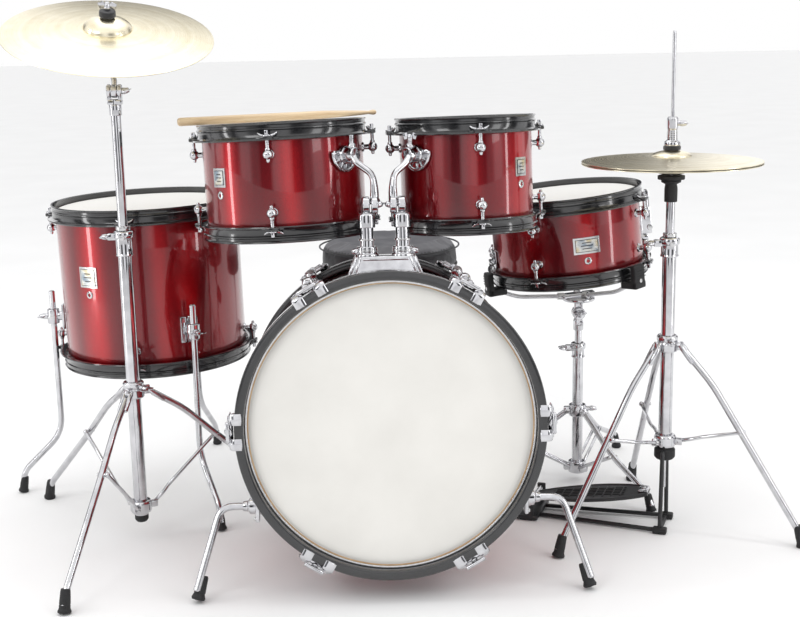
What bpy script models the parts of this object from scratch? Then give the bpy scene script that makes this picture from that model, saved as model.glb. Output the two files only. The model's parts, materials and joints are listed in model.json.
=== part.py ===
"""Junior five-piece drum kit with cymbals, stands, pedals and a throne, as an assembly of separate pieces.

Metres, +Z up. The bass drum's front head looks along -Y and the drummer sits on the +Y side. Everything is
laid out from the floor point below the bass drum's front hoop. The last step moves the whole kit, so that
its origin is the middle of its footprint on the floor.
"""
import math

import bmesh
import bpy
from mathutils import Matrix, Vector

# ---------------------------------------------------------------- driving dimensions
KIT_NAME = "junior_drum_kit"

GAP = 0.0004            # between pieces that touch or slide
SHELL_WALL = 0.006
HEAD_THICKNESS = 0.0015
ROD_RADIUS = 0.0028     # tension rods
ROUND = 6               # sides of small round bars
TUBE_SIDES = 10         # sides of tubes that slide in one another

BASS_RADIUS = 0.203
BASS_DEPTH = 0.305
BASS_TILT = math.radians(5.9)
BASS_HOOP_RADIUS = BASS_RADIUS + 0.0145
BASS_HOOP_DEPTH = 0.038
BASS_HOOP_PROUD = 0.017     # how far a hoop stands out past the shell's edge
BASS_LUG_ANGLES = [math.radians(60 * k) for k in range(6)]
BASS_SIDES = 26

# name: shell radius, shell depth, centre, roll about Y, tilt about X, lug azimuths
LEFT_TOM = dict(radius=0.1225, depth=0.152, centre=(-0.1487, 0.28, 2 * BASS_RADIUS + 0.163),
                roll=-1.7, tilt=3.2, lugs=4, first_lug=-6, sides=18)
RIGHT_TOM = dict(radius=0.1017, depth=0.152, centre=(0.131, 0.28, 2 * BASS_RADIUS + 0.165),
                 roll=-0.9, tilt=3.2, lugs=4, first_lug=6, sides=18)
FLOOR_TOM = dict(radius=0.1525, depth=0.254, centre=(-0.3935, 0.495, 0.380), roll=-1.2, tilt=0, lugs=4,
                 first_lug=-4, sides=20)
SNARE = dict(radius=0.127, depth=0.127, centre=(0.3195, 0.475, 0.4440), roll=-5.5, tilt=0, lugs=4,
             first_lug=-31, sides=18)

HOOP_GAP = 0.0022       # between a shell and its stamped hoop
HOOP_WALL = 0.0045
HOOP_RISE = 0.011       # above the head
HOOP_DROP = 0.014       # below the head
FLANGE_OUT = 0.0135
FLANGE_THICKNESS = 0.003
ROD_OUT = 0.0155        # from the shell to the axis of a tension rod
LUG_INSET = 0.034       # from the shell's edge to the middle of a ball lug
BALL_RADIUS = 0.0078

MOUNT_Y = 0.135         # tom mount, along the bass drum's axis
MOUNT_WIDTH = 0.112
MOUNT_TOP_WIDTH = 0.088
MOUNT_LENGTH = 0.058
MOUNT_HEIGHT = 0.030
POST_X = 0.0262
POST_RADIUS = 0.0100
POST_BELOW = 0.095      # how far a post reaches into the bass drum
POST_TOP = 0.1010       # knuckle axis above the shell

FLOOR_LEG_AZIMUTHS = (181, 299, 74)
FLOOR_LEG_OUT = 0.0215      # leg axis from the shell
FLOOR_LEG_RADIUS = 0.0052
FLOOR_LEG_TOP = 0.361
FLOOR_FOOT_RADIUS = 0.250

HIHAT_XY = (0.4395, 0.235)
HIHAT_CYMBAL_RADIUS = 0.1358
HIHAT_EDGE = 0.5845         # height of the closed cymbals' edges
HIHAT_OPENING = 0.004
CRASH_XY = (-0.3957, 0.254)
CRASH_CENTRE = (-0.400, 0.254, 0.788)
CRASH_RADIUS = 0.1555
CRASH_TILT = 20
CRASH_ROLL = 6.5
SNARE_STAND_XY = (0.3410, 0.470)
THRONE_XY = (0.022, 0.740)
SEAT_RADIUS = 0.135
SEAT_THICKNESS = 0.056
SEAT_TOP = 0.402

PEDAL_DIRECTION = math.radians(158)     # from the hi-hat stand to its pedal's heel

# ---------------------------------------------------------------- scene, looks and helper shapes


def clear_scene():
    for obj in list(bpy.data.objects):
        bpy.data.objects.remove(obj, do_unlink=True)


def new_collection(name, parent=None):
    collection = bpy.data.collections.new(name)
    (parent or bpy.context.scene.collection).children.link(collection)
    return collection


def look(name, colour, metallic, roughness):
    material = bpy.data.materials.new(name)
    material.use_nodes = True
    shader = material.node_tree.nodes["Principled BSDF"]
    shader.inputs["Base Color"].default_value = (*colour, 1.0)
    shader.inputs["Metallic"].default_value = metallic
    shader.inputs["Roughness"].default_value = roughness
    return material


clear_scene()
PARTS = new_collection(KIT_NAME)
HELPERS = new_collection("joined_and_cut_shapes")
PENDING = []            # pieces that still wait for their Boolean modifiers

RED = look("candy_red_wrap", (0.36, 0.008, 0.014), 0.4, 0.15)
BLACK_HOOP = look("black_hoop", (0.012, 0.012, 0.014), 0.2, 0.25)
BASS_HEAD = look("warm_white_head", (0.62, 0.59, 0.53), 0.0, 0.45)
CHROME = look("chrome", (0.78, 0.78, 0.79), 1.0, 0.12)
BRASS = look("cymbal_brass", (0.80, 0.72, 0.52), 1.0, 0.25)
RUBBER = look("black_rubber", (0.015, 0.015, 0.015), 0.0, 0.7)
VINYL = look("seat_vinyl", (0.09, 0.09, 0.10), 0.0, 0.5)
BLACK_METAL = look("black_metal", (0.02, 0.02, 0.022), 0.5, 0.4)
WOOD = look("stick_wood", (0.75, 0.56, 0.34), 0.0, 0.5)


def shift(offset):
    """The matrix of a plain move."""
    return Matrix.Translation(offset)


def clear_bore(radius):
    """The bore that clears a round bar of a radius, on the flats of its polygon."""
    return (radius + GAP) / math.cos(math.pi / TUBE_SIDES)


def polar(centre, radius, azimuth, height):
    """A point at a radius and azimuth (radians) about a vertical line through centre."""
    return Vector((centre[0] + radius * math.cos(azimuth), centre[1] + radius * math.sin(azimuth), height))


def frame_between(start, end):
    """A matrix at the middle of start and end, with its Z axis from start to end."""
    start = Vector(start)
    end = Vector(end)
    turn = (end - start).to_track_quat("Z", "Y").to_matrix().to_4x4()
    return shift((start + end) / 2) @ turn


def helper(bm, name="shape"):
    """Puts a bmesh in an object of its own among the helpers."""
    bmesh.ops.recalc_face_normals(bm, faces=bm.faces[:])
    mesh = bpy.data.meshes.new(name)
    bm.to_mesh(mesh)
    bm.free()
    obj = bpy.data.objects.new(name, mesh)
    HELPERS.objects.link(obj)
    return obj


def bar(start, end, radius, radius_end=None, sides=ROUND):
    """A round bar or cone from start to end."""
    bm = bmesh.new()
    length = (Vector(end) - Vector(start)).length
    bmesh.ops.create_cone(bm, cap_ends=True, segments=sides, radius1=radius,
                          radius2=radius if radius_end is None else radius_end, depth=length,
                          matrix=frame_between(start, end))
    return helper(bm)


def tube(start, end, radius, radius_end=None):
    """A round bar with the sides of tubes that slide in one another."""
    return bar(start, end, radius, radius_end, sides=TUBE_SIDES)


def block(size, place, top=(1.0, 1.0)):
    """A box of a size, its middle at the matrix place, its top narrowed by the two factors."""
    bm = bmesh.new()
    bmesh.ops.create_cube(bm, size=1.0)
    for vert in bm.verts:
        factor = top if vert.co.z > 0 else (1.0, 1.0)
        vert.co = Vector((vert.co.x * size[0] * factor[0], vert.co.y * size[1] * factor[1],
                          vert.co.z * size[2]))
    bmesh.ops.transform(bm, matrix=place, verts=bm.verts[:])
    return helper(bm)


def ball(centre, radius):
    bm = bmesh.new()
    bmesh.ops.create_uvsphere(bm, u_segments=6, v_segments=4, radius=radius,
                              matrix=shift(centre))
    return helper(bm)


def turned(profile, place, sides):
    """A turned solid: (radius, height) points down the outer side, with a Screw modifier."""
    mesh = bpy.data.meshes.new("turned")
    count = len(profile)
    closed = profile[0][0] > 0
    edges = [(k, k + 1) for k in range(count - 1)]
    if closed:
        edges.append((count - 1, 0))
    mesh.from_pydata([(radius, 0, height) for radius, height in profile], edges, [])
    obj = bpy.data.objects.new("turned", mesh)
    HELPERS.objects.link(obj)
    obj.matrix_world = place
    screw = obj.modifiers.new("turn", "SCREW")
    screw.steps = sides
    screw.render_steps = sides
    screw.use_merge_vertices = True
    screw.merge_threshold = 0.00001
    screw.use_normal_calculate = True
    return solid_copy(obj)


def ring(outer, inner, low, high, place, sides):
    """A tube along the Z axis of place."""
    return turned([(outer, high), (outer, low), (inner, low), (inner, high)], place, sides)


def bent_rod(points, radius, resolution=1):
    """A rod through points, as a bevelled curve with filled caps that is then made a mesh."""
    curve = bpy.data.curves.new("rod", "CURVE")
    curve.dimensions = "3D"
    curve.bevel_depth = radius
    curve.bevel_resolution = resolution
    curve.use_fill_caps = True
    spline = curve.splines.new("POLY")
    spline.points.add(len(points) - 1)
    for target, point in zip(spline.points, points):
        target.co = (*point, 1.0)
    obj = bpy.data.objects.new("rod", curve)
    HELPERS.objects.link(obj)
    return solid_copy(obj)


def solid_copy(source):
    """The evaluated shape of an object as a plain mesh object; the source is removed."""
    bpy.context.view_layer.update()
    depsgraph = bpy.context.evaluated_depsgraph_get()
    mesh = bpy.data.meshes.new_from_object(source.evaluated_get(depsgraph))
    bm = bmesh.new()
    bm.from_mesh(mesh)
    bmesh.ops.remove_doubles(bm, verts=bm.verts[:], dist=0.00001)
    bmesh.ops.recalc_face_normals(bm, faces=bm.faces[:])
    bm.to_mesh(mesh)
    bm.free()
    obj = bpy.data.objects.new("solid", mesh)
    HELPERS.objects.link(obj)
    obj.matrix_world = source.matrix_world
    bpy.data.objects.remove(source, do_unlink=True)
    return obj


def pivot(name, location, parent=None):
    """An empty on a joint's axis."""
    empty = bpy.data.objects.new(name, None)
    empty.empty_display_size = 0.03
    PARTS.objects.link(empty)
    empty.location = location
    bpy.context.view_layer.update()
    if parent:
        attach(empty, parent)
    return empty


def attach(child, parent):
    bpy.context.view_layer.update()
    child.parent = parent
    child.matrix_parent_inverse = parent.matrix_world.inverted()


def group_solids(name, solids, operation, target):
    """Joins or cuts target with a group of helper solids, in one Boolean modifier."""
    if not solids:
        return
    group = new_collection(name, HELPERS)
    for solid in solids:
        HELPERS.objects.unlink(solid)
        group.objects.link(solid)
        solid.hide_render = True
        solid.display_type = "WIRE"
        solid.parent = target
        solid.matrix_parent_inverse = target.matrix_world.inverted()
    modifier = target.modifiers.new(operation.lower(), "BOOLEAN")
    modifier.operation = operation
    modifier.solver = "EXACT"
    modifier.operand_type = "COLLECTION"
    modifier.collection = group


def piece(name, base, material, parent, joined=(), cut=()):
    """Makes a helper solid one of the kit's pieces, with what is joined to it and cut from it."""
    HELPERS.objects.unlink(base)
    PARTS.objects.link(base)
    base.name = name
    base.data.name = name
    base.data.materials.clear()
    base.data.materials.append(material)
    base.data.shade_smooth()
    base.data.set_sharp_from_angle(angle=math.radians(35))
    attach(base, parent)
    PENDING.append((name, base, list(joined), list(cut)))
    return base


def join_and_cut():
    """Gives every piece its Boolean modifiers, once all of them stand in their places."""
    bpy.context.view_layer.update()
    for name, base, joined, cut in PENDING:
        group_solids(name + "_joined", joined, "UNION", base)
        group_solids(name + "_cut", cut, "DIFFERENCE", base)


KIT = pivot("kit_origin", (0, 0, 0))

# ---------------------------------------------------------------- bass drum
BASS_LENGTH = BASS_DEPTH + 2 * BASS_HOOP_PROUD
BASS_FRONT_HEIGHT = BASS_HOOP_RADIUS * math.cos(BASS_TILT) + BASS_LENGTH * math.sin(BASS_TILT)
# local Z comes out of the front head, local Y is up across the drum, origin in the front hoop's front face
BASS_PLACE = shift((0, 0, BASS_FRONT_HEIGHT)) @ Matrix.Rotation(math.pi / 2 - BASS_TILT, 4, "X")
BASS_REAR_PLACE = BASS_PLACE @ shift((0, 0, -BASS_LENGTH)) @ Matrix.Rotation(math.pi, 4, "Y")
BASS_LUG_FROM_FACE = 0.100
BASS_ROD_RADIUS_FROM_AXIS = BASS_HOOP_RADIUS + 0.0085
SPUR_HEIGHT = BASS_FRONT_HEIGHT - 0.1297
SPUR_BRACKET = (BASS_RADIUS + 0.0015, 0.060, SPUR_HEIGHT)     # right side; where the spur enters it
SPUR_BEND = (BASS_RADIUS + 0.044, 0.060, SPUR_HEIGHT)
SPUR_FOOT = (BASS_RADIUS + 0.078, 0.000)


def bass_point(x, y, z):
    return BASS_PLACE @ Vector((x, y, z))


def bass_claws(place):
    """The claw hooks of one hoop, each with its tension rod."""
    solids = []
    for angle in BASS_LUG_ANGLES:
        here = place @ Matrix.Rotation(angle, 4, "Z")
        front = here @ shift((BASS_HOOP_RADIUS - 0.0045, 0, 0.0008))
        solids.append(block((0.019, 0.051, 0.0044), front))
        bridge = here @ shift((BASS_HOOP_RADIUS + 0.0065, 0, -0.010))
        solids.append(block((0.0120, 0.050, 0.0245), bridge))
        rod_x = BASS_ROD_RADIUS_FROM_AXIS
        solids.append(bar(here @ Vector((rod_x, 0, 0.004)),
                          here @ Vector((rod_x, 0, -BASS_LUG_FROM_FACE + 0.010 + GAP)), 0.0034, sides=6))
    return solids


def bass_lugs(place):
    """Radial cast lugs, in line with the claws of the hoop whose face is at place."""
    solids = []
    for angle in BASS_LUG_ANGLES:
        here = place @ Matrix.Rotation(angle, 4, "Z")
        middle = here @ shift(((BASS_RADIUS + 0.233) / 2 - 0.001, 0, -BASS_LUG_FROM_FACE))
        solids.append(block((0.233 - BASS_RADIUS + 0.002, 0.018, 0.020), middle))
    return solids


def make_bass_drum():
    hoop_low = -BASS_HOOP_DEPTH
    inner = BASS_RADIUS + 0.0010
    shell_top = -BASS_HOOP_PROUD
    shell = ring(BASS_RADIUS, BASS_RADIUS - SHELL_WALL, shell_top - BASS_DEPTH, shell_top, BASS_PLACE,
                 BASS_SIDES)
    holes = []
    for side in (-1, 1):
        low = bass_point(side * POST_X, 0.10, -MOUNT_Y)
        holes.append(tube(low, bass_point(side * POST_X, 0.30, -MOUNT_Y), POST_RADIUS + 2 * GAP))
    spur_blocks = []
    for side in (-1, 1):
        x, y, z = SPUR_BRACKET
        spur_blocks.append(block((0.046, 0.030, 0.030), shift((side * (x - 0.021), y, z))))
        holes.append(tube((side * (x - 0.012), y, z), (side * (x + 0.010), y, z), 0.0052 + GAP))
    piece("bass_shell", shell, RED, KIT, bass_lugs(BASS_PLACE) + bass_lugs(BASS_REAR_PLACE) + spur_blocks,
          [bore_inside_bass()] + holes)
    head_low = shell_top + GAP
    head = ring_disc(BASS_RADIUS + 0.0005, head_low, head_low + HEAD_THICKNESS, BASS_PLACE, BASS_SIDES)
    piece("bass_front_head", head, BASS_HEAD, KIT)
    hoop = ring(BASS_HOOP_RADIUS, inner, hoop_low, 0, BASS_PLACE, BASS_SIDES)
    piece("bass_front_hoop", hoop, BLACK_HOOP, KIT, bass_claws(BASS_PLACE))
    rear = turned([(0, head_low + HEAD_THICKNESS), (inner, head_low + HEAD_THICKNESS), (inner, 0),
                   (BASS_HOOP_RADIUS, 0), (BASS_HOOP_RADIUS, hoop_low), (inner, hoop_low),
                   (inner, head_low), (0, head_low)], BASS_REAR_PLACE, BASS_SIDES)
    piece("bass_rear_head", rear, BLACK_HOOP, KIT, bass_claws(BASS_REAR_PLACE))


def ring_disc(radius, low, high, place, sides):
    return turned([(0, high), (radius, high), (radius, low), (0, low)], place, sides)


def bore_inside_bass():
    """Clears the drum's inside of what its brackets would leave there."""
    inside = BASS_RADIUS - SHELL_WALL
    return bar(bass_point(0, 0, 0), bass_point(0, 0, -BASS_LENGTH), inside, sides=BASS_SIDES)


def rubber_foot(x, y, radius=0.0095, height=0.024):
    """A tapered rubber foot with a flat underside on the floor."""
    return bar((x, y, 0), (x, y, height), radius, radius * 0.7, sides=ROUND)


def make_spurs():
    for side, name in ((-1, "left"), (1, "right")):
        x, y, z = SPUR_BRACKET
        axis_start = (side * (x - 0.011), y, z)
        bend = (side * SPUR_BEND[0], SPUR_BEND[1], SPUR_BEND[2])
        foot = (side * SPUR_FOOT[0], SPUR_FOOT[1], 0.012)
        rod = bent_rod([axis_start, bend, foot], 0.0052)
        hinge = pivot("spur_%s_hinge" % name, axis_start, KIT)
        piece("bass_spur_%s" % name, rod, CHROME, hinge,
              [rubber_foot(side * SPUR_FOOT[0], SPUR_FOOT[1], 0.011, 0.030)])


# ---------------------------------------------------------------- toms, floor tom and snare


def drum_place(drum):
    """The matrix of a drum: its Z axis is the drum's axis and its origin the middle of the shell."""
    return (shift(drum["centre"]) @ Matrix.Rotation(math.radians(drum["roll"]), 4, "Y")
            @ Matrix.Rotation(math.radians(-drum["tilt"]), 4, "X"))


def lug_angles(drum):
    return [math.radians(drum["first_lug"] + 360 / drum["lugs"] * k) for k in range(drum["lugs"])]


def ball_lugs(drum, place):
    """Ball lugs on short posts, near both edges of the shell."""
    solids = []
    radius = drum["radius"]
    for angle in lug_angles(drum):
        turn = place @ Matrix.Rotation(angle, 4, "Z")
        for end in (-1, 1):
            height = end * (drum["depth"] / 2 - LUG_INSET)
            solids.append(bar(turn @ Vector((radius - 0.003, 0, height)),
                              turn @ Vector((radius + ROD_OUT, 0, height)), 0.0042, sides=6))
            solids.append(bar(turn @ Vector((radius + ROD_OUT, 0, height - BALL_RADIUS)),
                              turn @ Vector((radius + ROD_OUT, 0, height + BALL_RADIUS)), BALL_RADIUS,
                              sides=6))
    return solids


def head_and_hoop(drum, place, angles):
    """A head in its stamped hoop, at the +Z end of place, with its ears and tension rods."""
    radius = drum["radius"]
    edge = drum["depth"] / 2
    inner = radius + HOOP_GAP
    outer = inner + HOOP_WALL
    flange = radius + FLANGE_OUT
    low = edge - HOOP_DROP
    profile = [(0, edge + GAP + HEAD_THICKNESS), (inner, edge + GAP + HEAD_THICKNESS),
               (inner, edge + HOOP_RISE), (outer, edge + HOOP_RISE), (outer, low + FLANGE_THICKNESS),
               (flange, low + FLANGE_THICKNESS), (flange, low), (inner, low), (inner, edge + GAP),
               (0, edge + GAP)]
    joined = []
    lug_top = edge - LUG_INSET + BALL_RADIUS
    for angle in angles:
        turn = place @ Matrix.Rotation(angle, 4, "Z")
        ear = turn @ shift((radius + 0.0145, 0, low + 0.004))
        joined.append(block((0.017, 0.017, 0.009), ear))
        joined.append(bar(turn @ Vector((radius + ROD_OUT, 0, low + 0.016)),
                          turn @ Vector((radius + ROD_OUT, 0, lug_top + GAP)), ROD_RADIUS, sides=6))
    return turned(profile, place, drum["sides"]), joined


def make_drum(name, drum, parent, shell_joined=(), shell_cut=()):
    place = drum_place(drum)
    radius = drum["radius"]
    half = drum["depth"] / 2
    shell = ring(radius, radius - SHELL_WALL, -half, half, place, drum["sides"])
    core = bar(place @ Vector((0, 0, -half - 0.02)), place @ Vector((0, 0, half + 0.02)),
               radius - SHELL_WALL, sides=drum["sides"])
    piece(name + "_shell", shell, RED, parent, ball_lugs(drum, place) + list(shell_joined),
          [core] + list(shell_cut))
    top, joined = head_and_hoop(drum, place, lug_angles(drum))
    piece(name + "_batter_head", top, BLACK_HOOP, parent, joined)
    under = place @ Matrix.Rotation(math.pi, 4, "X")
    bottom, joined = head_and_hoop(drum, under, [-angle for angle in lug_angles(drum)])
    piece(name + "_resonant_head", bottom, BLACK_HOOP, parent, joined)
    return place


def make_tom_mount():
    """The cast mount on the bass drum, bored for the two posts."""
    middle = bass_point(0, BASS_RADIUS + MOUNT_HEIGHT / 2 - 0.006, -MOUNT_Y)
    up = BASS_PLACE.to_3x3().to_4x4() @ Matrix.Rotation(-math.pi / 2, 4, "X")
    narrowing = MOUNT_TOP_WIDTH / MOUNT_WIDTH
    body = block((MOUNT_WIDTH, MOUNT_LENGTH, MOUNT_HEIGHT + 0.012), shift(middle) @ up,
                 top=(narrowing, 0.8))
    top = BASS_RADIUS + MOUNT_HEIGHT
    joined = []
    cut = [bar(bass_point(0, 0, 0.02), bass_point(0, 0, -BASS_LENGTH), BASS_RADIUS + GAP,
               sides=BASS_SIDES * 2)]
    for side in (-1, 1):
        joined.append(tube(bass_point(side * POST_X, top - 0.01, -MOUNT_Y),
                          bass_point(side * POST_X, top + 0.012, -MOUNT_Y), 0.0155))
        cut.append(tube(bass_point(side * POST_X, 0.15, -MOUNT_Y), bass_point(side * POST_X, 0.30, -MOUNT_Y),
                       POST_RADIUS + GAP))
    piece("tom_mount", body, CHROME, KIT, joined, cut)


KNUCKLE_RADIUS = 0.0125
BRACKET_HEIGHT = 0.034      # above the middle of a tom


def tom_knuckle(side):
    """The middle of the knuckle that a tom tilts about."""
    return bass_point(side * POST_X, BASS_RADIUS + POST_TOP, -MOUNT_Y)


def make_tom(name, drum, side):
    """One tom with its post and arm. The post slides in the mount and the arm tilts on the post."""
    knuckle = tom_knuckle(side)
    slide = pivot("tom_post_%s_slide" % name, bass_point(side * POST_X, BASS_RADIUS, -MOUNT_Y), KIT)
    top = BASS_RADIUS + POST_TOP
    post = tube(bass_point(side * POST_X, BASS_RADIUS - POST_BELOW, -MOUNT_Y),
               bass_point(side * POST_X, top - 0.0140, -MOUNT_Y), POST_RADIUS)
    sleeve = tube(bass_point(side * POST_X, top - 0.030, -MOUNT_Y),
                 bass_point(side * POST_X, top - 0.015, -MOUNT_Y), POST_RADIUS + 0.0028)
    neck = block((0.0105, 0.020, 0.014), BASS_PLACE @ shift((side * POST_X, top - 0.009, -MOUNT_Y)))
    across = Vector((1, 0, 0))
    fork = tube(knuckle - across * 0.0055, knuckle + across * 0.0055, KNUCKLE_RADIUS)
    piece("tom_post_%s" % name, post, CHROME, slide, [sleeve, neck, fork])

    tilt = pivot("tom_%s_tilt" % name, knuckle, slide)
    place = make_drum("tom_%s" % name, drum, tilt)
    azimuth = math.radians(-41 if side < 0 else -139)
    turn = place @ Matrix.Rotation(azimuth, 4, "Z")
    out = drum["radius"]
    plate = block((0.008, 0.046, 0.034), turn @ shift((out + 0.004 + GAP, 0, BRACKET_HEIGHT)))
    socket = turn @ Vector((out + 0.016, 0, BRACKET_HEIGHT))
    elbow = knuckle + Vector((side * -0.0125, 0.004, 0.040))
    cheek = knuckle + across * side * -0.0125
    joined = [
        tube(cheek - across * 0.005, cheek + across * 0.005, KNUCKLE_RADIUS),
        bar(cheek, elbow, 0.0048),
        ball(elbow, 0.0058),
        bar(elbow, socket, 0.0048),
        tube(turn @ Vector((out + 0.005, 0, BRACKET_HEIGHT)), turn @ Vector((out + 0.024, 0, BRACKET_HEIGHT)),
            0.0125),
        bar(socket, socket + Vector((0, 0, 0.026)), 0.0040, sides=ROUND),
    ]
    piece("tom_arm_%s" % name, plate, CHROME, tilt, joined)
    return tilt, place


def make_floor_tom():
    place = drum_place(FLOOR_TOM)
    centre = FLOOR_TOM["centre"]
    leg_radius = FLOOR_TOM["radius"] + FLOOR_LEG_OUT
    bracket_height = 0.318
    joined = []
    cut = []
    for azimuth in FLOOR_LEG_AZIMUTHS:
        angle = math.radians(azimuth)
        spot = polar(centre, (FLOOR_TOM["radius"] - 0.004 + leg_radius + 0.010) / 2, angle, bracket_height)
        size = (leg_radius + 0.010 - FLOOR_TOM["radius"] + 0.004, 0.024, 0.030)
        joined.append(block(size, shift(spot) @ Matrix.Rotation(angle, 4, "Z")))
        axis = polar(centre, leg_radius, angle, 0)
        cut.append(tube(axis + Vector((0, 0, 0.28)), axis + Vector((0, 0, 0.36)), FLOOR_LEG_RADIUS + GAP))
    make_drum("floor_tom", FLOOR_TOM, KIT, joined, cut)
    for number, azimuth in enumerate(FLOOR_LEG_AZIMUTHS, 1):
        angle = math.radians(azimuth)
        points = [polar(centre, leg_radius, angle, FLOOR_LEG_TOP), polar(centre, leg_radius, angle, 0.108),
                  polar(centre, FLOOR_FOOT_RADIUS - 0.006, angle, 0.040),
                  polar(centre, FLOOR_FOOT_RADIUS, angle, 0.012)]
        grip = polar(centre, leg_radius, angle, bracket_height)
        slide = pivot("floor_tom_leg_%d_slide" % number, grip, KIT)
        foot = points[-1]
        piece("floor_tom_leg_%d" % number, bent_rod(points, FLOOR_LEG_RADIUS), CHROME, slide,
              [rubber_foot(foot.x, foot.y, 0.0085, 0.028)])


# ---------------------------------------------------------------- snare, its basket and its stand
SNARE_TILTER = Vector((SNARE_STAND_XY[0], SNARE_STAND_XY[1], 0.3030))
BASKET_AZIMUTHS = (-50, -168, 70)
STRAINER_AZIMUTH = 4


def make_snare(parent):
    place = drum_place(SNARE)
    radius = SNARE["radius"]
    turn = place @ Matrix.Rotation(math.radians(STRAINER_AZIMUTH), 4, "Z")
    housing = block((0.022, 0.026, 0.044), turn @ shift((radius + 0.0095, 0, 0.004)))
    slot = block((0.022, 0.0128, 0.060), turn @ shift((radius + 0.0170, 0, 0.008)))
    make_drum("snare", SNARE, parent, [housing], [slot])
    hinge_point = turn @ Vector((radius + 0.0165, 0, -0.008))
    lever_pivot = pivot("snare_strainer_hinge", hinge_point, parent)
    lever = block((0.0085, 0.0110, 0.060), turn @ shift((radius + 0.0170, 0, 0.016)))
    paddle = block((0.006, 0.020, 0.016), turn @ shift((radius + 0.0185, 0, 0.048)))
    piece("snare_strainer_lever", lever, CHROME, lever_pivot, [paddle])
    return place


def make_basket(place, parent):
    """Three arms with rubber jaws that hold the snare drum's lower hoop."""
    radius = SNARE["radius"]
    flange = radius + FLANGE_OUT
    bottom = -SNARE["depth"] / 2 - HOOP_RISE
    jaw_low = bottom - 0.014
    plate_centre = Vector((SNARE_TILTER.x, SNARE_TILTER.y, SNARE_TILTER.z + 0.026))
    joined = [block((0.015, 0.0088, 0.025), shift(SNARE_TILTER + Vector((0, 0, 0.0125))))]
    for azimuth in BASKET_AZIMUTHS:
        turn = place @ Matrix.Rotation(math.radians(azimuth), 4, "Z")
        root = plate_centre.lerp(turn @ Vector((0.03, 0, bottom - 0.030)), 0.5)
        knee = turn @ Vector((radius - 0.030, 0, bottom - 0.024))
        end = turn @ Vector((radius + 0.004, 0, jaw_low + 0.007))
        joined.append(bent_rod([root, knee, end], 0.0038))
        joined.append(block((0.030, 0.026, 0.0128),
                            turn @ shift((radius + 0.0105, 0, jaw_low + 0.0064))))
        joined.append(block((0.0100, 0.026, 0.040),
                            turn @ shift((flange + 0.0035 + GAP + 0.002, 0, jaw_low + 0.020))))
    base = tube(plate_centre - Vector((0, 0, 0.004)), plate_centre + Vector((0, 0, 0.004)), 0.028)
    fork = tube(SNARE_TILTER - Vector((0, 0.0045, 0)), SNARE_TILTER + Vector((0, 0.0045, 0)), 0.0110)
    piece("snare_basket", base, CHROME, parent, [fork] + joined)


def static_tripod(centre, first, hub, collar, joint, foot_radius, tube_radius):
    """The legs, braces and rubber feet of a stand whose tripod stays open."""
    solids = []
    for k in range(3):
        angle = math.radians(first + 120 * k)
        top = polar(centre, tube_radius + 0.008, angle, collar)
        middle = polar(centre, joint[0], angle, joint[1])
        ankle = polar(centre, foot_radius - 0.012, angle, 0.030)
        foot = polar(centre, foot_radius, angle, 0.010)
        solids.append(bent_rod([top, middle, ankle, foot], 0.0048))
        solids.append(bar(polar(centre, tube_radius + 0.0025, angle, hub), middle, 0.0036, sides=6))
        solids.append(rubber_foot(foot.x, foot.y, 0.0095, 0.026))
    collar_ring = tube((centre[0], centre[1], collar - 0.011), (centre[0], centre[1], collar + 0.011),
                      tube_radius + 0.010)
    hub_ring = tube((centre[0], centre[1], hub - 0.007), (centre[0], centre[1], hub + 0.007),
                   tube_radius + 0.009)
    return solids + [collar_ring, hub_ring]


def upright(centre, low, high, radius, bore_radius, name, material, parent, joined=(), extra_cut=()):
    """A stand's tube with its joined fittings, bored from the top for the tube that slides in it."""
    base = tube((centre[0], centre[1], low), (centre[0], centre[1], high), radius)
    cut = [tube((centre[0], centre[1], low + 0.030), (centre[0], centre[1], high + 0.01), bore_radius)]
    return piece(name, base, material, parent, joined, cut + list(extra_cut))


def clamp(centre, height, radius, length, side):
    """A sleeve clamp at the top of a tube, with the boss of its wing bolt."""
    sleeve = tube((centre[0], centre[1], height - length), (centre[0], centre[1], height), radius)
    boss = bar((centre[0], centre[1], height - 0.009), (centre[0] + side * 0.024, centre[1], height - 0.009),
               0.0055, sides=10)
    return [sleeve, boss]


def make_snare_stand():
    centre = SNARE_STAND_XY
    top = 0.250
    upright(centre, 0.012, top, 0.0092, 0.0068, "snare_stand_base", CHROME, KIT,
            static_tripod(centre, -62, 0.024, 0.128, (0.098, 0.068), 0.200, 0.0092)
            + clamp(centre, top, 0.0125, 0.026, -1))
    slide = pivot("snare_stand_height_slide", (centre[0], centre[1], top), KIT)
    cheeks = []
    for side in (-1, 1):
        cheek = SNARE_TILTER + Vector((0, side * 0.0080, 0))
        cheeks.append(tube(cheek - Vector((0, 0.0030, 0)), cheek + Vector((0, 0.0030, 0)), 0.0110))
    yoke = block((0.014, 0.022, 0.010), shift((centre[0], centre[1], SNARE_TILTER.z - 0.0165)))
    risers = [block((0.012, 0.0060, 0.020), shift(SNARE_TILTER + Vector((0, side * 0.0080, -0.010))))
              for side in (-1, 1)]
    shaft = tube((centre[0], centre[1], 0.110), (centre[0], centre[1], SNARE_TILTER.z - 0.013), 0.0062)
    piece("snare_stand_tube", shaft, CHROME, slide, cheeks + risers + [yoke])
    tilt = pivot("snare_basket_tilt", SNARE_TILTER, slide)
    place = make_snare(tilt)
    make_basket(place, tilt)


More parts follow.
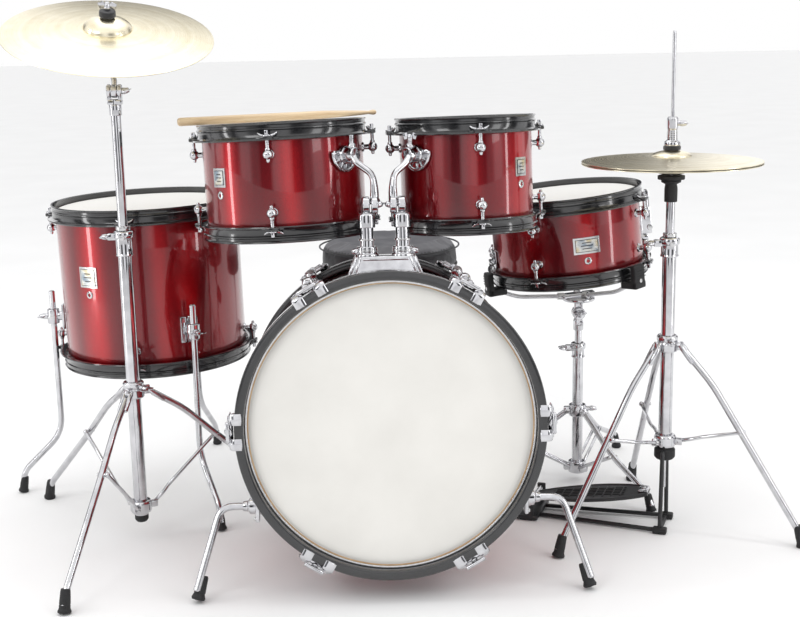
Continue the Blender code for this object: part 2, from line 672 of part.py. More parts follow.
# ---------------------------------------------------------------- folding tripods
def folding_tripod(name, centre, azimuths, sizes, parent):
    """A sliding collar with three hinged legs, and three braces hinged on the tube's hub."""
    collar_pivot = pivot(name + "_collar_slide", (centre[0], centre[1], sizes["collar"]), parent)
    tube_radius = sizes["tube_radius"]
    ring_low = sizes["collar"] - 0.010
    collar = ring(tube_radius + 0.0060, clear_bore(tube_radius), ring_low, ring_low + 0.026,
                  shift((centre[0], centre[1], 0)), TUBE_SIDES)
    lugs = []
    for azimuth in azimuths:
        angle = math.radians(azimuth)
        spot = polar(centre, tube_radius + 0.0085, angle, sizes["collar"])
        lugs.append(block((0.013, 0.0052, 0.014), shift(spot) @ Matrix.Rotation(angle, 4, "Z")))
    boss_angle = math.radians(azimuths[0] + 60)
    boss = bar(polar(centre, tube_radius + 0.003, boss_angle, ring_low + 0.018),
               polar(centre, tube_radius + 0.020, boss_angle, ring_low + 0.018), 0.0048)
    piece(name + "_collar", collar, CHROME, collar_pivot, lugs + [boss])
    for number, azimuth in enumerate(azimuths, 1):
        make_leg_and_brace(name, centre, math.radians(azimuth), number, sizes, collar_pivot, parent)


def make_leg_and_brace(name, centre, angle, number, sizes, collar_pivot, parent):
    pivot_out = sizes["tube_radius"] + 0.0125
    top = polar(centre, pivot_out, angle, sizes["collar"])
    joint = polar(centre, sizes["joint"][0], angle, sizes["joint"][1])
    ankle = polar(centre, sizes["foot_radius"] - 0.012, angle, 0.032)
    foot = polar(centre, sizes["foot_radius"], angle, 0.010)
    down = (joint - top).normalized()
    leg_pivot = pivot("%s_leg_%d_hinge" % (name, number), top, collar_pivot)
    rod = bent_rod([top + down * 0.012, joint, ankle, foot], 0.0054)
    across = Matrix.Rotation(angle, 4, "Z").to_3x3() @ Vector((0, 1, 0))
    arms = []
    for side in (-1, 1):
        start = top + across * side * 0.0050
        arms.append(bar(start - down * 0.004, start + down * 0.030, 0.0021, sides=ROUND))
    arms.append(rubber_foot(foot.x, foot.y, 0.0105, 0.030))
    piece("%s_leg_%d" % (name, number), rod, CHROME, leg_pivot, arms)

    hub = polar(centre, sizes["tube_radius"] + 0.0125, angle, sizes["hub"])
    toward = (joint - hub).normalized()
    brace_pivot = pivot("%s_brace_%d_hinge" % (name, number), hub, parent)
    clear = across * 0.0090
    start = hub + across * 0.0050
    rest = [start - toward * 0.003, start + toward * 0.022, hub + clear + toward * 0.034,
            joint + clear - toward * 0.002]
    piece("%s_brace_%d" % (name, number), bent_rod(rest, 0.0026), CHROME, brace_pivot)


def hub_solids(centre, azimuths, sizes):
    """The fixed hub that the braces hinge on."""
    solids = [tube((centre[0], centre[1], sizes["hub"] - 0.009), (centre[0], centre[1], sizes["hub"] + 0.009),
                  sizes["tube_radius"] + 0.0065)]
    for azimuth in azimuths:
        angle = math.radians(azimuth)
        spot = polar(centre, sizes["tube_radius"] + 0.0095, angle, sizes["hub"])
        solids.append(block((0.014, 0.0042, 0.012), shift(spot) @ Matrix.Rotation(angle, 4, "Z")))
    return solids


CRASH_TRIPOD = dict(collar=0.2450, hub=0.0560, joint=(0.132, 0.1530), foot_radius=0.279, tube_radius=0.0105)
CRASH_LEG_AZIMUTHS = (-104, 25, 134)
HIHAT_TRIPOD = dict(collar=0.3000, hub=0.1450, joint=(0.120, 0.1690), foot_radius=0.219, tube_radius=0.0105)
HIHAT_LEG_AZIMUTHS = (-149, -29, 91)


# ---------------------------------------------------------------- crash cymbal and its boom-less stand
CRASH_TILTER_HEIGHT = 0.7080


def cymbal(place, radius, rise, bell_radius, bell_height, sides=22, thickness=0.0013, hole=0.0062):
    """A bowed cymbal with a bell and a centre hole; local Z is up through the bell."""
    steps = 2
    upper = []
    for k in range(steps + 1):
        share = k / steps
        r = bell_radius + (radius - bell_radius) * (1 - share)
        bow = 1 - ((r - bell_radius) / (radius - bell_radius)) ** 1.6
        upper.append((r, rise * bow))
    top_bow = upper[-1][1]
    for share in (0.6,):
        angle = share * math.pi / 2
        upper.append((bell_radius * math.cos(angle), top_bow + bell_height * math.sin(angle)))
    upper[:] = [point for point in upper if point[0] > hole]
    upper.append((hole, top_bow + bell_height))
    outline = list(reversed(upper)) + [(r, z - thickness) for r, z in upper]
    return turned(outline, place, sides)


def crash_place():
    return (shift(CRASH_CENTRE) @ Matrix.Rotation(math.radians(CRASH_ROLL), 4, "Y")
            @ Matrix.Rotation(math.radians(CRASH_TILT), 4, "X"))


def make_crash():
    centre = CRASH_XY
    clamp_top = 0.4980
    base_radius = CRASH_TRIPOD["tube_radius"]
    upright(centre, 0.040, clamp_top, base_radius, base_radius - 0.0025, "crash_stand_base", CHROME, KIT,
            hub_solids(centre, CRASH_LEG_AZIMUTHS, CRASH_TRIPOD)
            + clamp(centre, clamp_top, base_radius + 0.0040, 0.038, -1))
    folding_tripod("crash_stand", centre, CRASH_LEG_AZIMUTHS, CRASH_TRIPOD, KIT)

    slide = pivot("crash_height_slide", (centre[0], centre[1], clamp_top), KIT)
    axis = Vector((centre[0], centre[1], CRASH_TILTER_HEIGHT))
    shaft = tube((centre[0], centre[1], 0.300), axis - Vector((0, 0, 0.012)), base_radius - 0.0030)
    cheek_plates = []
    for side in (-1, 1):
        spot = axis + Vector((side * 0.0080, 0, 0))
        cheek_plates.append(tube(spot - Vector((0.003, 0, 0)), spot + Vector((0.003, 0, 0)), 0.0100))
        riser = shift(axis + Vector((side * 0.0080, 0, -0.010)))
        cheek_plates.append(block((0.0060, 0.012, 0.020), riser))
    cheek_plates.append(block((0.0220, 0.014, 0.008), shift(axis + Vector((0, 0, -0.0165)))))
    piece("crash_stand_tube", shaft, CHROME, slide, cheek_plates)

    tilt = pivot("crash_tilter_hinge", axis, slide)
    place = crash_place()
    nut = place @ Vector((0, 0, 0.052))
    stem_root = place @ Vector((0, 0, -0.052))
    fork = tube(axis - Vector((0.0045, 0, 0)), axis + Vector((0.0045, 0, 0)), 0.0100)
    elbow = axis + Vector((0, 0.007, 0.017))
    joined = [bar(axis, elbow, 0.0040), ball(elbow, 0.0046), bar(elbow, stem_root, 0.0040),
              ball(stem_root, 0.0046), bar(stem_root, nut, 0.0030, sides=ROUND),
              tube(place @ Vector((0, 0, -0.018)), place @ Vector((0, 0, 0.004)), 0.0130, 0.0100),
              tube(place @ Vector((0, 0, 0.0315)), place @ Vector((0, 0, 0.0400)), 0.0120),
              block((0.030, 0.0055, 0.010), place @ shift((0, 0, 0.0445)))]
    piece("crash_tilter", fork, CHROME, tilt, joined)
    swing = pivot("crash_cymbal_swing", place @ Vector((0, 0, 0.018)), tilt)
    piece("crash_cymbal", cymbal(place, CRASH_RADIUS, 0.012, 0.036, 0.017), BRASS, swing)


# ---------------------------------------------------------------- hi-hat
HIHAT_BOARD_PIVOT = 0.0300      # height of the heel hinge
HIHAT_BOARD_LENGTH = 0.190


def pedal_point(along, across, height):
    """A point by the hi-hat pedal: along from the stand to the heel, across to its left."""
    direction = Vector((math.cos(PEDAL_DIRECTION), math.sin(PEDAL_DIRECTION), 0))
    sideways = Vector((-direction.y, direction.x, 0))
    spot = Vector((HIHAT_XY[0], HIHAT_XY[1], height)) + direction * along + sideways * across
    return spot


def pedal_place(along, across, height):
    return shift(pedal_point(along, across, height)) @ Matrix.Rotation(PEDAL_DIRECTION, 4, "Z")


def hihat_frame_solids():
    """The wire frame on the floor that ties the heel hinge to the tube's foot."""
    solids = []
    for side in (-1, 1):
        solids.append(bar(pedal_point(0.0, side * 0.034, 0.0052), pedal_point(0.212, side * 0.020, 0.0052),
                          0.0042))
        solids.append(bar(pedal_point(0.0, side * 0.034, 0.0030), pedal_point(0.0, side * 0.020, 0.132),
                          0.0034))
    solids.append(bar(pedal_point(0.0, -0.036, 0.0052), pedal_point(0.0, 0.036, 0.0052), 0.0042, sides=ROUND))
    solids.append(block((0.012, 0.048, 0.010), pedal_place(0.0, 0, 0.1345)))
    solids.append(block((0.040, 0.090, 0.010), pedal_place(0.216, 0, 0.0060)))
    for side in (-1, 1):
        solids.append(block((0.012, 0.006, 0.034), pedal_place(0.210, side * 0.0415, 0.020)))
    return solids


def make_hihat():
    centre = HIHAT_XY
    clamp_top = 0.4700
    base_radius = HIHAT_TRIPOD["tube_radius"]
    base = tube((centre[0], centre[1], 0.116), (centre[0], centre[1], clamp_top), base_radius)
    bore = [tube((centre[0], centre[1], 0.10), (centre[0], centre[1], clamp_top + 0.01), 0.0074)]
    piece("hihat_stand_base", base, CHROME, KIT,
          hub_solids(centre, HIHAT_LEG_AZIMUTHS, HIHAT_TRIPOD)
          + clamp(centre, clamp_top, base_radius + 0.0045, 0.030, -1)
          + hihat_frame_solids(), bore)
    folding_tripod("hihat_stand", centre, HIHAT_LEG_AZIMUTHS, HIHAT_TRIPOD, KIT)

    slide = pivot("hihat_height_slide", (centre[0], centre[1], clamp_top), KIT)
    vertical = shift((centre[0], centre[1], 0))
    upper = ring(0.0068, 0.0040, 0.330, 0.545, vertical, TUBE_SIDES)
    edge = HIHAT_EDGE
    cup = ring(0.0205, 0.0040, edge - 0.0270, edge - 0.0192, vertical, TUBE_SIDES)
    sleeve = ring(0.0100, 0.0040, edge - 0.0600, edge - 0.0240, vertical, TUBE_SIDES)
    flange = ring(0.0150, 0.0040, edge - 0.0320, edge - 0.0265, vertical, TUBE_SIDES)
    piece("hihat_stand_tube", upper, CHROME, slide, [cup, sleeve, flange])
    half = HIHAT_OPENING / 2
    rise = 0.0080
    under = shift((centre[0], centre[1], edge - half)) @ Matrix.Rotation(math.pi, 4, "X")
    lower = cymbal(under, HIHAT_CYMBAL_RADIUS, rise, 0.030, 0.0085, hole=0.0060)
    piece("hihat_bottom_cymbal", lower, BRASS, slide)
    pull = pivot("hihat_rod_slide", (centre[0], centre[1], edge), slide)
    above = shift((centre[0], centre[1], edge + half))
    top = cymbal(above, HIHAT_CYMBAL_RADIUS, rise, 0.030, 0.0085, hole=0.0060)
    piece("hihat_top_cymbal", top, BRASS, pull)
    rod = bar((centre[0], centre[1], 0.066), (centre[0], centre[1], 0.7800), 0.0028, sides=10)
    bell_top = edge + half + rise + 0.0085
    clutch = [tube((centre[0], centre[1], bell_top + GAP), (centre[0], centre[1], bell_top + 0.0130), 0.0135),
              tube((*centre, bell_top + 0.012), (*centre, bell_top + 0.050), 0.0072),
              tube((*centre, bell_top - 0.018), (*centre, bell_top + 0.002), 0.0050),
              block((0.026, 0.005, 0.012), shift((centre[0] + 0.012, centre[1], bell_top + 0.040)))]
    piece("hihat_pull_rod", rod, CHROME, pull, clutch)

    heel = pedal_point(0.210, 0, HIHAT_BOARD_PIVOT)
    board_pivot = pivot("hihat_pedal_hinge", heel, KIT)
    slope = math.atan2(0.060 - HIHAT_BOARD_PIVOT - 0.004, HIHAT_BOARD_LENGTH)
    middle = pedal_place(0.210 - HIHAT_BOARD_LENGTH / 2 * math.cos(slope), 0,
                         HIHAT_BOARD_PIVOT + HIHAT_BOARD_LENGTH / 2 * math.sin(slope))
    board = block((HIHAT_BOARD_LENGTH - 0.004, 0.074, 0.006), middle @ Matrix.Rotation(slope, 4, "Y"))
    knuckle = bar(pedal_point(0.210, -0.0380, HIHAT_BOARD_PIVOT),
                  pedal_point(0.210, 0.0380, HIHAT_BOARD_PIVOT), 0.0048)
    piece("hihat_pedal_board", board, BLACK_METAL, board_pivot, [knuckle])


# ---------------------------------------------------------------- throne and bass pedal
def make_throne():
    centre = THRONE_XY
    seat_low = SEAT_TOP - SEAT_THICKNESS
    column = 0.330
    upright(centre, 0.030, column, 0.0125, 0.0100, "throne_base", CHROME, KIT,
            static_tripod(centre, 90, 0.052, 0.190, (0.118, 0.112), 0.212, 0.0125))
    spin = pivot("throne_seat_spin", (centre[0], centre[1], seat_low), KIT)
    bevel = 0.010
    outline = [(0, SEAT_TOP), (SEAT_RADIUS * 0.75, SEAT_TOP - 0.001), (SEAT_RADIUS - bevel, SEAT_TOP - 0.004),
               (SEAT_RADIUS, SEAT_TOP - 0.004 - bevel), (SEAT_RADIUS, seat_low + 0.004),
               (SEAT_RADIUS - 0.004, seat_low), (0, seat_low)]
    seat = turned(outline, shift((centre[0], centre[1], 0)), 24)
    stem = [tube((centre[0], centre[1], 0.200), (centre[0], centre[1], seat_low + 0.004), 0.0092),
            tube((centre[0], centre[1], column + GAP), (centre[0], centre[1], seat_low + 0.004), 0.0220)]
    piece("throne_seat", seat, VINYL, spin, stem)


PEDAL_FACE_GAP = 0.004
PEDAL_X = 0.0
PEDAL_AXLE_HEIGHT = 0.205
PEDAL_POST_X = 0.034
BEATER_LENGTH = 0.130
BEATER_LEAN = math.radians(36)     # back from upright, at rest


def make_bass_pedal():
    """The pedal that clamps on the rear hoop: frame, footboard and beater."""
    rear_y = BASS_LENGTH * math.cos(BASS_TILT) + BASS_HOOP_RADIUS * math.sin(BASS_TILT) + PEDAL_FACE_GAP
    axle_y = rear_y + 0.014
    heel_y = axle_y + 0.240
    base = block((0.092, 0.046, 0.008), shift((PEDAL_X, rear_y + 0.034, 0.0040)))
    joined = [block((0.092, 0.034, 0.008), shift((PEDAL_X, heel_y + 0.004, 0.0040)))]
    for side in (-1, 1):
        x = PEDAL_X + side * PEDAL_POST_X
        joined.append(bar((x, axle_y, 0.004), (x, axle_y, PEDAL_AXLE_HEIGHT), 0.0060))
        joined.append(tube((x, axle_y, PEDAL_AXLE_HEIGHT), (x - side * 0.0065, axle_y, PEDAL_AXLE_HEIGHT),
                           0.0095))
        joined.append(bar((PEDAL_X + side * 0.022, rear_y + 0.030, 0.0040),
                          (PEDAL_X + side * 0.022, heel_y, 0.0040), 0.0030, sides=ROUND))
        joined.append(block((0.0060, 0.012, 0.024), shift((PEDAL_X + side * 0.0405, heel_y, 0.018))))
    jaw_low = BASS_HOOP_RADIUS - BASS_RADIUS + 0.0035
    joined.append(block((0.030, 0.032, 0.0060), shift((PEDAL_X, rear_y + 0.002, jaw_low + 0.006))))
    joined.append(block((0.030, 0.012, 0.024), shift((PEDAL_X, rear_y + 0.014, 0.0120))))
    piece("bass_pedal_frame", base, CHROME, KIT, joined)

    heel = Vector((PEDAL_X, heel_y, 0.0250))
    board_pivot = pivot("bass_pedal_board_hinge", heel, KIT)
    slope = math.radians(13)
    length = 0.205
    centre = heel + Vector((0, -length / 2 * math.cos(slope), length / 2 * math.sin(slope)))
    board = block((0.072, length - 0.006, 0.006), shift(centre) @ Matrix.Rotation(-slope, 4, "X"))
    knuckle = bar(heel - Vector((0.0370, 0, 0)), heel + Vector((0.0370, 0, 0)), 0.0048)
    piece("bass_pedal_board", board, BLACK_METAL, board_pivot, [knuckle])

    axle = Vector((PEDAL_X, axle_y, PEDAL_AXLE_HEIGHT))
    beater_pivot = pivot("bass_pedal_beater_hinge", axle, KIT)
    shaft = bar(axle - Vector((0.0270, 0, 0)), axle + Vector((0.0270, 0, 0)), 0.0052)
    lean = BEATER_LEAN
    tip = axle + Vector((0, math.sin(lean), math.cos(lean))) * BEATER_LENGTH
    head_axis = Vector((0, math.cos(lean), -math.sin(lean)))
    joined = [bar(axle, tip, 0.0032), tube(tip - head_axis * 0.026, tip + head_axis * 0.018, 0.0190, 0.0150),
              tube(axle - Vector((0.007, 0, 0)), axle + Vector((0.007, 0, 0)), 0.0160)]
    piece("bass_pedal_beater", shaft, CHROME, beater_pivot, joined)


def make_drumstick(place, parent):
    """A stick lying across the left tom's rim."""
    radius = LEFT_TOM["radius"]
    height = LEFT_TOM["depth"] / 2 + HOOP_RISE + 0.0066 + GAP
    butt = place @ Vector((-radius - 0.034, -0.010, height))
    shoulder = place @ Vector((radius - 0.060, 0.052, height))
    tip = place @ Vector((radius + 0.020, 0.078, height - 0.001))
    stick = tube(butt, shoulder, 0.0064)
    piece("drumstick", stick, WOOD, parent, [tube(shoulder, tip, 0.0064, 0.0026), ball(tip, 0.0042)])


# ---------------------------------------------------------------- assembly
def footprint_middle():
    """The middle of the kit's box, seen from above."""
    bpy.context.view_layer.update()
    depsgraph = bpy.context.evaluated_depsgraph_get()
    xs = []
    ys = []
    for obj in PARTS.objects:
        if obj.type != "MESH":
            continue
        shape = obj.evaluated_get(depsgraph)
        for vert in shape.data.vertices:
            spot = obj.matrix_world @ vert.co
            xs.append(spot.x)
            ys.append(spot.y)
    return (min(xs) + max(xs)) / 2, (min(ys) + max(ys)) / 2


make_bass_drum()
make_spurs()
make_tom_mount()
left_tilt, left_place = make_tom("left", LEFT_TOM, -1)
make_tom("right", RIGHT_TOM, 1)
make_floor_tom()
make_snare_stand()
make_crash()
make_hihat()
make_throne()
make_bass_pedal()
make_drumstick(left_place, left_tilt)
join_and_cut()

middle_x, middle_y = footprint_middle()
KIT.location = (-middle_x, -middle_y, 0)
bpy.context.view_layer.update()
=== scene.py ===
"""The looks of a junior drum kit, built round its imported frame.

Lengths are metres, +Z is up and the audience sits on the -Y side.
"""
import json
import math

import bmesh
import bpy
from mathutils import Matrix, Vector


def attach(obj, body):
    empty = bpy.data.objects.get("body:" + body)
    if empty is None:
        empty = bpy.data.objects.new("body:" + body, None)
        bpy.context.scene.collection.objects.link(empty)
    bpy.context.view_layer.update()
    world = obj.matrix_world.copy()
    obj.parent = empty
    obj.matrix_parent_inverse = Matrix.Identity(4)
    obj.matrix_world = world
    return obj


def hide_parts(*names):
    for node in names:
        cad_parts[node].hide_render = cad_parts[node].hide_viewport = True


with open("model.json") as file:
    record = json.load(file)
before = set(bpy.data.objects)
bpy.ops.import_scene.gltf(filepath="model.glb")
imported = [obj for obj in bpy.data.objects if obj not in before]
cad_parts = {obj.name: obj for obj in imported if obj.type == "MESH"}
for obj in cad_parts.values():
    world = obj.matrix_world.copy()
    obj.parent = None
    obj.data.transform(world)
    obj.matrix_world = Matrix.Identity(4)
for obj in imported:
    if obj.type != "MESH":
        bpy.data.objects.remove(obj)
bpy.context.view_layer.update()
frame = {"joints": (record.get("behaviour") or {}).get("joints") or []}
JOINTS = {joint["name"]: joint for joint in frame["joints"]}
TAU = 2 * math.pi

# The layout starts at the floor below the bass drum's front hoop; the throne's spindle says where that is.
SPINDLE = (0.022, 0.740)
SPIN_AT = JOINTS["throne_seat_spin"]["pos_m"]
LAYOUT = Matrix.Translation((SPIN_AT[0] - SPINDLE[0], SPIN_AT[1] - SPINDLE[1], 0))


def pivot_at(joint):
    """Where a joint of the frame sits, in the layout's own coordinates."""
    return LAYOUT.inverted() @ Vector(JOINTS[joint]["pos_m"])


def on_floor(joint):
    """The floor point straight below a joint."""
    spot = pivot_at(joint)
    return Vector((spot.x, spot.y, 0))


# ---------------------------------------------------------------- finishes
class Finish:
    """A material whose colour, roughness and bump move with one fine pattern."""

    def __init__(self, name, metallic=0.0, coat=0.0, coat_roughness=0.05, sheen=0.0, level=0.5):
        self.material = bpy.data.materials.new(name)
        self.material.use_nodes = True
        self.nodes = self.material.node_tree.nodes
        self.links = self.material.node_tree.links
        self.shader = self.nodes["Principled BSDF"]
        self.shader.inputs["Metallic"].default_value = metallic
        self.shader.inputs["Coat Weight"].default_value = coat
        self.shader.inputs["Coat Roughness"].default_value = coat_roughness
        self.shader.inputs["Sheen Weight"].default_value = sheen
        self.shader.inputs["Specular IOR Level"].default_value = level

    def place(self, stretch=(1, 1, 1), local=False):
        """Coordinates of the piece, or of the part before it was set in place."""
        if local:
            source = self.nodes.new("ShaderNodeAttribute")
            source.attribute_name = "local"
            out = source.outputs["Vector"]
        else:
            source = self.nodes.new("ShaderNodeTexCoord")
            out = source.outputs["Object"]
        mapping = self.nodes.new("ShaderNodeMapping")
        mapping.inputs["Scale"].default_value = stretch
        self.links.new(out, mapping.inputs["Vector"])
        return mapping.outputs["Vector"]

    def noise(self, place, scale, detail=4.0):
        node = self.nodes.new("ShaderNodeTexNoise")
        node.inputs["Scale"].default_value = scale
        node.inputs["Detail"].default_value = detail
        self.links.new(place, node.inputs["Vector"])
        return node.outputs["Fac"]

    def cells(self, place, scale):
        node = self.nodes.new("ShaderNodeTexVoronoi")
        node.feature = "DISTANCE_TO_EDGE"
        node.inputs["Scale"].default_value = scale
        self.links.new(place, node.inputs["Vector"])
        return node.outputs["Distance"]

    def sum(self, operation, first, second):
        node = self.nodes.new("ShaderNodeMath")
        node.operation = operation
        for socket, value in zip(node.inputs, (first, second)):
            if isinstance(value, (int, float)):
                socket.default_value = value
            else:
                self.links.new(value, socket)
        return node.outputs[0]

    def colours(self, factor, stops):
        ramp = self.nodes.new("ShaderNodeValToRGB")
        elements = ramp.color_ramp.elements
        while len(elements) < len(stops):
            elements.new(0.5)
        for element, (position, colour) in zip(elements, stops):
            element.position = position
            element.color = (*colour, 1.0)
        self.links.new(factor, ramp.inputs["Fac"])
        self.links.new(ramp.outputs["Color"], self.shader.inputs["Base Color"])
        return self

    def rough(self, factor, low, high, start=0.3, stop=0.7):
        node = self.nodes.new("ShaderNodeMapRange")
        for name, value in (("From Min", start), ("From Max", stop), ("To Min", low), ("To Max", high)):
            node.inputs[name].default_value = value
        self.links.new(factor, node.inputs["Value"])
        self.links.new(node.outputs["Result"], self.shader.inputs["Roughness"])
        return self

    def bump(self, height, strength, distance):
        node = self.nodes.new("ShaderNodeBump")
        node.inputs["Strength"].default_value = strength
        node.inputs["Distance"].default_value = distance
        self.links.new(height, node.inputs["Height"])
        self.links.new(node.outputs["Normal"], self.shader.inputs["Normal"])
        return self


def plain_finish(name, low, high, rough, scale, bump, stretch=(1, 1, 1), local=False, **sockets):
    finish = Finish(name, **sockets)
    grain = finish.noise(finish.place(stretch, local), scale)
    finish.colours(grain, [(0.3, low), (0.7, high)])
    finish.rough(grain, *rough)
    finish.bump(grain, *bump)
    return finish.material


def candy_wrap():
    """Red sparkle wrap under a clear layer: fine flakes, and painted reflection streaks, lighter and darker
    bands round the shell that run along its axis.
    """
    finish = Finish("candy_red_wrap", metallic=0.62, coat=1.0, coat_roughness=0.03)
    flakes = finish.noise(finish.place(), 2400.0, 2.0)
    # painted reflections: noise stretched along the shell's axis gives light and dark streaks in the base
    # colour, like strip lights mirrored in the wrap
    painted_streaks = finish.noise(finish.place((16, 16, 0.5), True), 1.0, 1.0)
    depth = finish.sum("ADD", finish.sum("MULTIPLY", flakes, 0.35), finish.sum("MULTIPLY", painted_streaks, 0.75))
    # dark to bright red from the real flakes plus the painted reflection streaks
    finish.colours(depth, [(0.36, (0.060, 0.0003, 0.004)), (0.52, (0.200, 0.0010, 0.006)),
                           (0.68, (0.480, 0.0050, 0.010))])
    finish.rough(flakes, 0.22, 0.36)
    finish.bump(finish.noise(finish.place(), 130.0, 2.0), 0.05, 0.0003)
    return finish.material


def lathed_brass():
    """Pale brass with turned grooves, a broad tonal change from bell to edge, and fine tarnish."""
    finish = Finish("lathed_brass", metallic=1.0)
    place = finish.place((1, 1, 0), True)
    radius = finish.nodes.new("ShaderNodeVectorMath")
    radius.operation = "LENGTH"
    finish.links.new(place, radius.inputs[0])
    out = radius.outputs["Value"]
    line = finish.nodes.new("ShaderNodeCombineXYZ")
    finish.links.new(out, line.inputs["X"])
    grooves = finish.noise(line.outputs["Vector"], 900.0, 3.0)
    bands = finish.noise(line.outputs["Vector"], 90.0, 2.0)
    tarnish = finish.noise(finish.place(), 40.0, 3.0)
    tone = finish.sum("ADD", finish.sum("MULTIPLY", bands, 0.6), finish.sum("MULTIPLY", tarnish, 0.4))
    finish.colours(tone, [(0.3, (0.74, 0.66, 0.47)), (0.7, (0.93, 0.87, 0.70))])
    finish.rough(grooves, 0.20, 0.36)
    finish.bump(grooves, 0.35, 0.0002)
    return finish.material


def grained_vinyl(name, low, high):
    finish = Finish(name, level=0.45)
    cells = finish.cells(finish.place(), 420.0)
    soft = finish.noise(finish.place(), 28.0, 3.0)
    finish.colours(soft, [(0.3, low), (0.7, high)])
    finish.rough(soft, 0.42, 0.58)
    finish.bump(cells, 0.35, 0.0004)
    return finish.material


def badge_foil():
    """A silvery plate with a fine brushed grain and a pale blue and gold shift, without any mark."""
    finish = Finish("badge_foil", metallic=0.75)
    grain = finish.noise(finish.place((1, 1, 60), True), 60.0, 2.0)
    shift = finish.noise(finish.place((1, 1, 1), True), 55.0, 1.0)
    finish.colours(shift, [(0.36, (0.30, 0.36, 0.42)), (0.50, (0.70, 0.70, 0.66)),
                           (0.64, (0.62, 0.54, 0.36))])
    finish.rough(grain, 0.22, 0.38)
    finish.bump(grain, 0.15, 0.0002)
    return finish.material


WRAP = candy_wrap()
BRASS = lathed_brass()
FOIL = badge_foil()
CHROME = plain_finish("polished_chrome", (0.50, 0.50, 0.52), (0.64, 0.64, 0.66), (0.05, 0.11), 60.0,
                      (0.02, 0.0002), metallic=1.0)
BRIGHT = plain_finish("satin_frame", (0.52, 0.52, 0.53), (0.66, 0.66, 0.66), (0.16, 0.26), 220.0,
                      (0.05, 0.0001), metallic=1.0)
HOOP_BLACK = plain_finish("gloss_black_hoop", (0.006, 0.006, 0.007), (0.016, 0.016, 0.018), (0.16, 0.24),
                          90.0, (0.04, 0.0002), coat=0.8, coat_roughness=0.06)
POWDER = plain_finish("black_powder_coat", (0.008, 0.008, 0.009), (0.022, 0.022, 0.024), (0.34, 0.50), 1400.0,
                      (0.25, 0.0003))
RUBBER = plain_finish("black_rubber", (0.010, 0.010, 0.011), (0.026, 0.026, 0.027), (0.52, 0.68), 500.0,
                      (0.30, 0.0004), level=0.35)
FELT = plain_finish("dark_felt", (0.018, 0.018, 0.020), (0.05, 0.05, 0.052), (0.85, 0.98), 1600.0,
                    (0.8, 0.0008), sheen=0.4, level=0.2)
HEAD_WHITE = plain_finish("coated_white_head", (0.80, 0.79, 0.76), (0.87, 0.86, 0.83), (0.40, 0.52), 900.0,
                          (0.10, 0.0002))
HEAD_BASS = plain_finish("warm_white_bass_head", (0.74, 0.725, 0.685), (0.79, 0.775, 0.735), (0.30, 0.40),
                         14.0, (0.03, 0.0006), coat=0.15, coat_roughness=0.25)
PLY = plain_finish("inner_plywood", (0.42, 0.25, 0.12), (0.62, 0.42, 0.24), (0.45, 0.6), 30.0, (0.12, 0.0004),
                   stretch=(1, 1, 14), local=True)
MAPLE = plain_finish("stick_maple", (0.62, 0.43, 0.24), (0.82, 0.66, 0.44), (0.30, 0.42), 190.0,
                     (0.10, 0.0003), stretch=(1, 1, 0.06), local=True, coat=0.3, coat_roughness=0.2)
SEAT_TOP_VINYL = grained_vinyl("grey_seat_vinyl", (0.085, 0.085, 0.095), (0.125, 0.125, 0.135))
SEAT_SIDE_VINYL = grained_vinyl("black_seat_vinyl", (0.018, 0.018, 0.021), (0.036, 0.036, 0.040))
WIRE = plain_finish("snare_wire", (0.55, 0.54, 0.52), (0.72, 0.71, 0.69), (0.22, 0.34), 300.0, (0.05, 0.0001),
                    metallic=1.0)


# ---------------------------------------------------------------- shapes
def rounded(outline, size, steps=3, closed=True):
    """An outline of (radius, height) points with its corners rounded, apart from points on the axis."""
    made = []
    count = len(outline)
    for k, (r, z) in enumerate(outline):
        here = Vector((r, z))
        if r < 1e-6 or (not closed and k in (0, count - 1)):
            made.append((r, z))
            continue
        before = Vector(outline[k - 1]) - here
        after = Vector(outline[(k + 1) % count]) - here
        cut = min(size, 0.45 * before.length, 0.45 * after.length)
        start = here + before.normalized() * cut
        end = here + after.normalized() * cut
        for step in range(steps + 1):
            t = step / steps
            spot = start * (1 - t) ** 2 + here * 2 * t * (1 - t) + end * t * t
            made.append((spot.x, spot.y))
    return made


def smooth_path(points, size, steps=5):
    """A bent path whose corners are rounded."""
    points = [Vector(point) for point in points]
    made = [points[0]]
    for before, here, after in zip(points, points[1:], points[2:]):
        back = before - here
        on = after - here
        cut = min(size, 0.45 * back.length, 0.45 * on.length)
        start = here + back.normalized() * cut
        end = here + on.normalized() * cut
        for step in range(steps + 1):
            t = step / steps
            made.append(start * (1 - t) ** 2 + here * 2 * t * (1 - t) + end * t * t)
    made.append(points[-1])
    return made


def between(start, end):
    """A matrix at start with its Z axis towards end."""
    start = Vector(start)
    turn = (Vector(end) - start).to_track_quat("Z", "Y").to_matrix().to_4x4()
    return shifted(start) @ turn


def spun(angle, axis="Z"):
    return Matrix.Rotation(angle, 4, axis)


# turns a wing bolt's axis from Z to X, with its wings upright
SIDEWAYS = spun(math.pi / 2, "Y") @ spun(math.pi / 2)


def disc_outline(radius, low, high):
    """The outline of a plain disc or bar."""
    return [(0, low), (radius, low), (radius, high), (0, high)]


def wheel_outline(radius, face_radius, half, rim_half):
    """The outline of a knuckle disc with bevelled rims, for both of its faces."""
    return [(0, -half), (face_radius, -half), (radius, -rim_half), (radius, rim_half), (face_radius, half),
            (0, half)]


def shifted(offset):
    return Matrix.Translation(offset)


def at(x, y, z):
    return shifted((x, y, z))


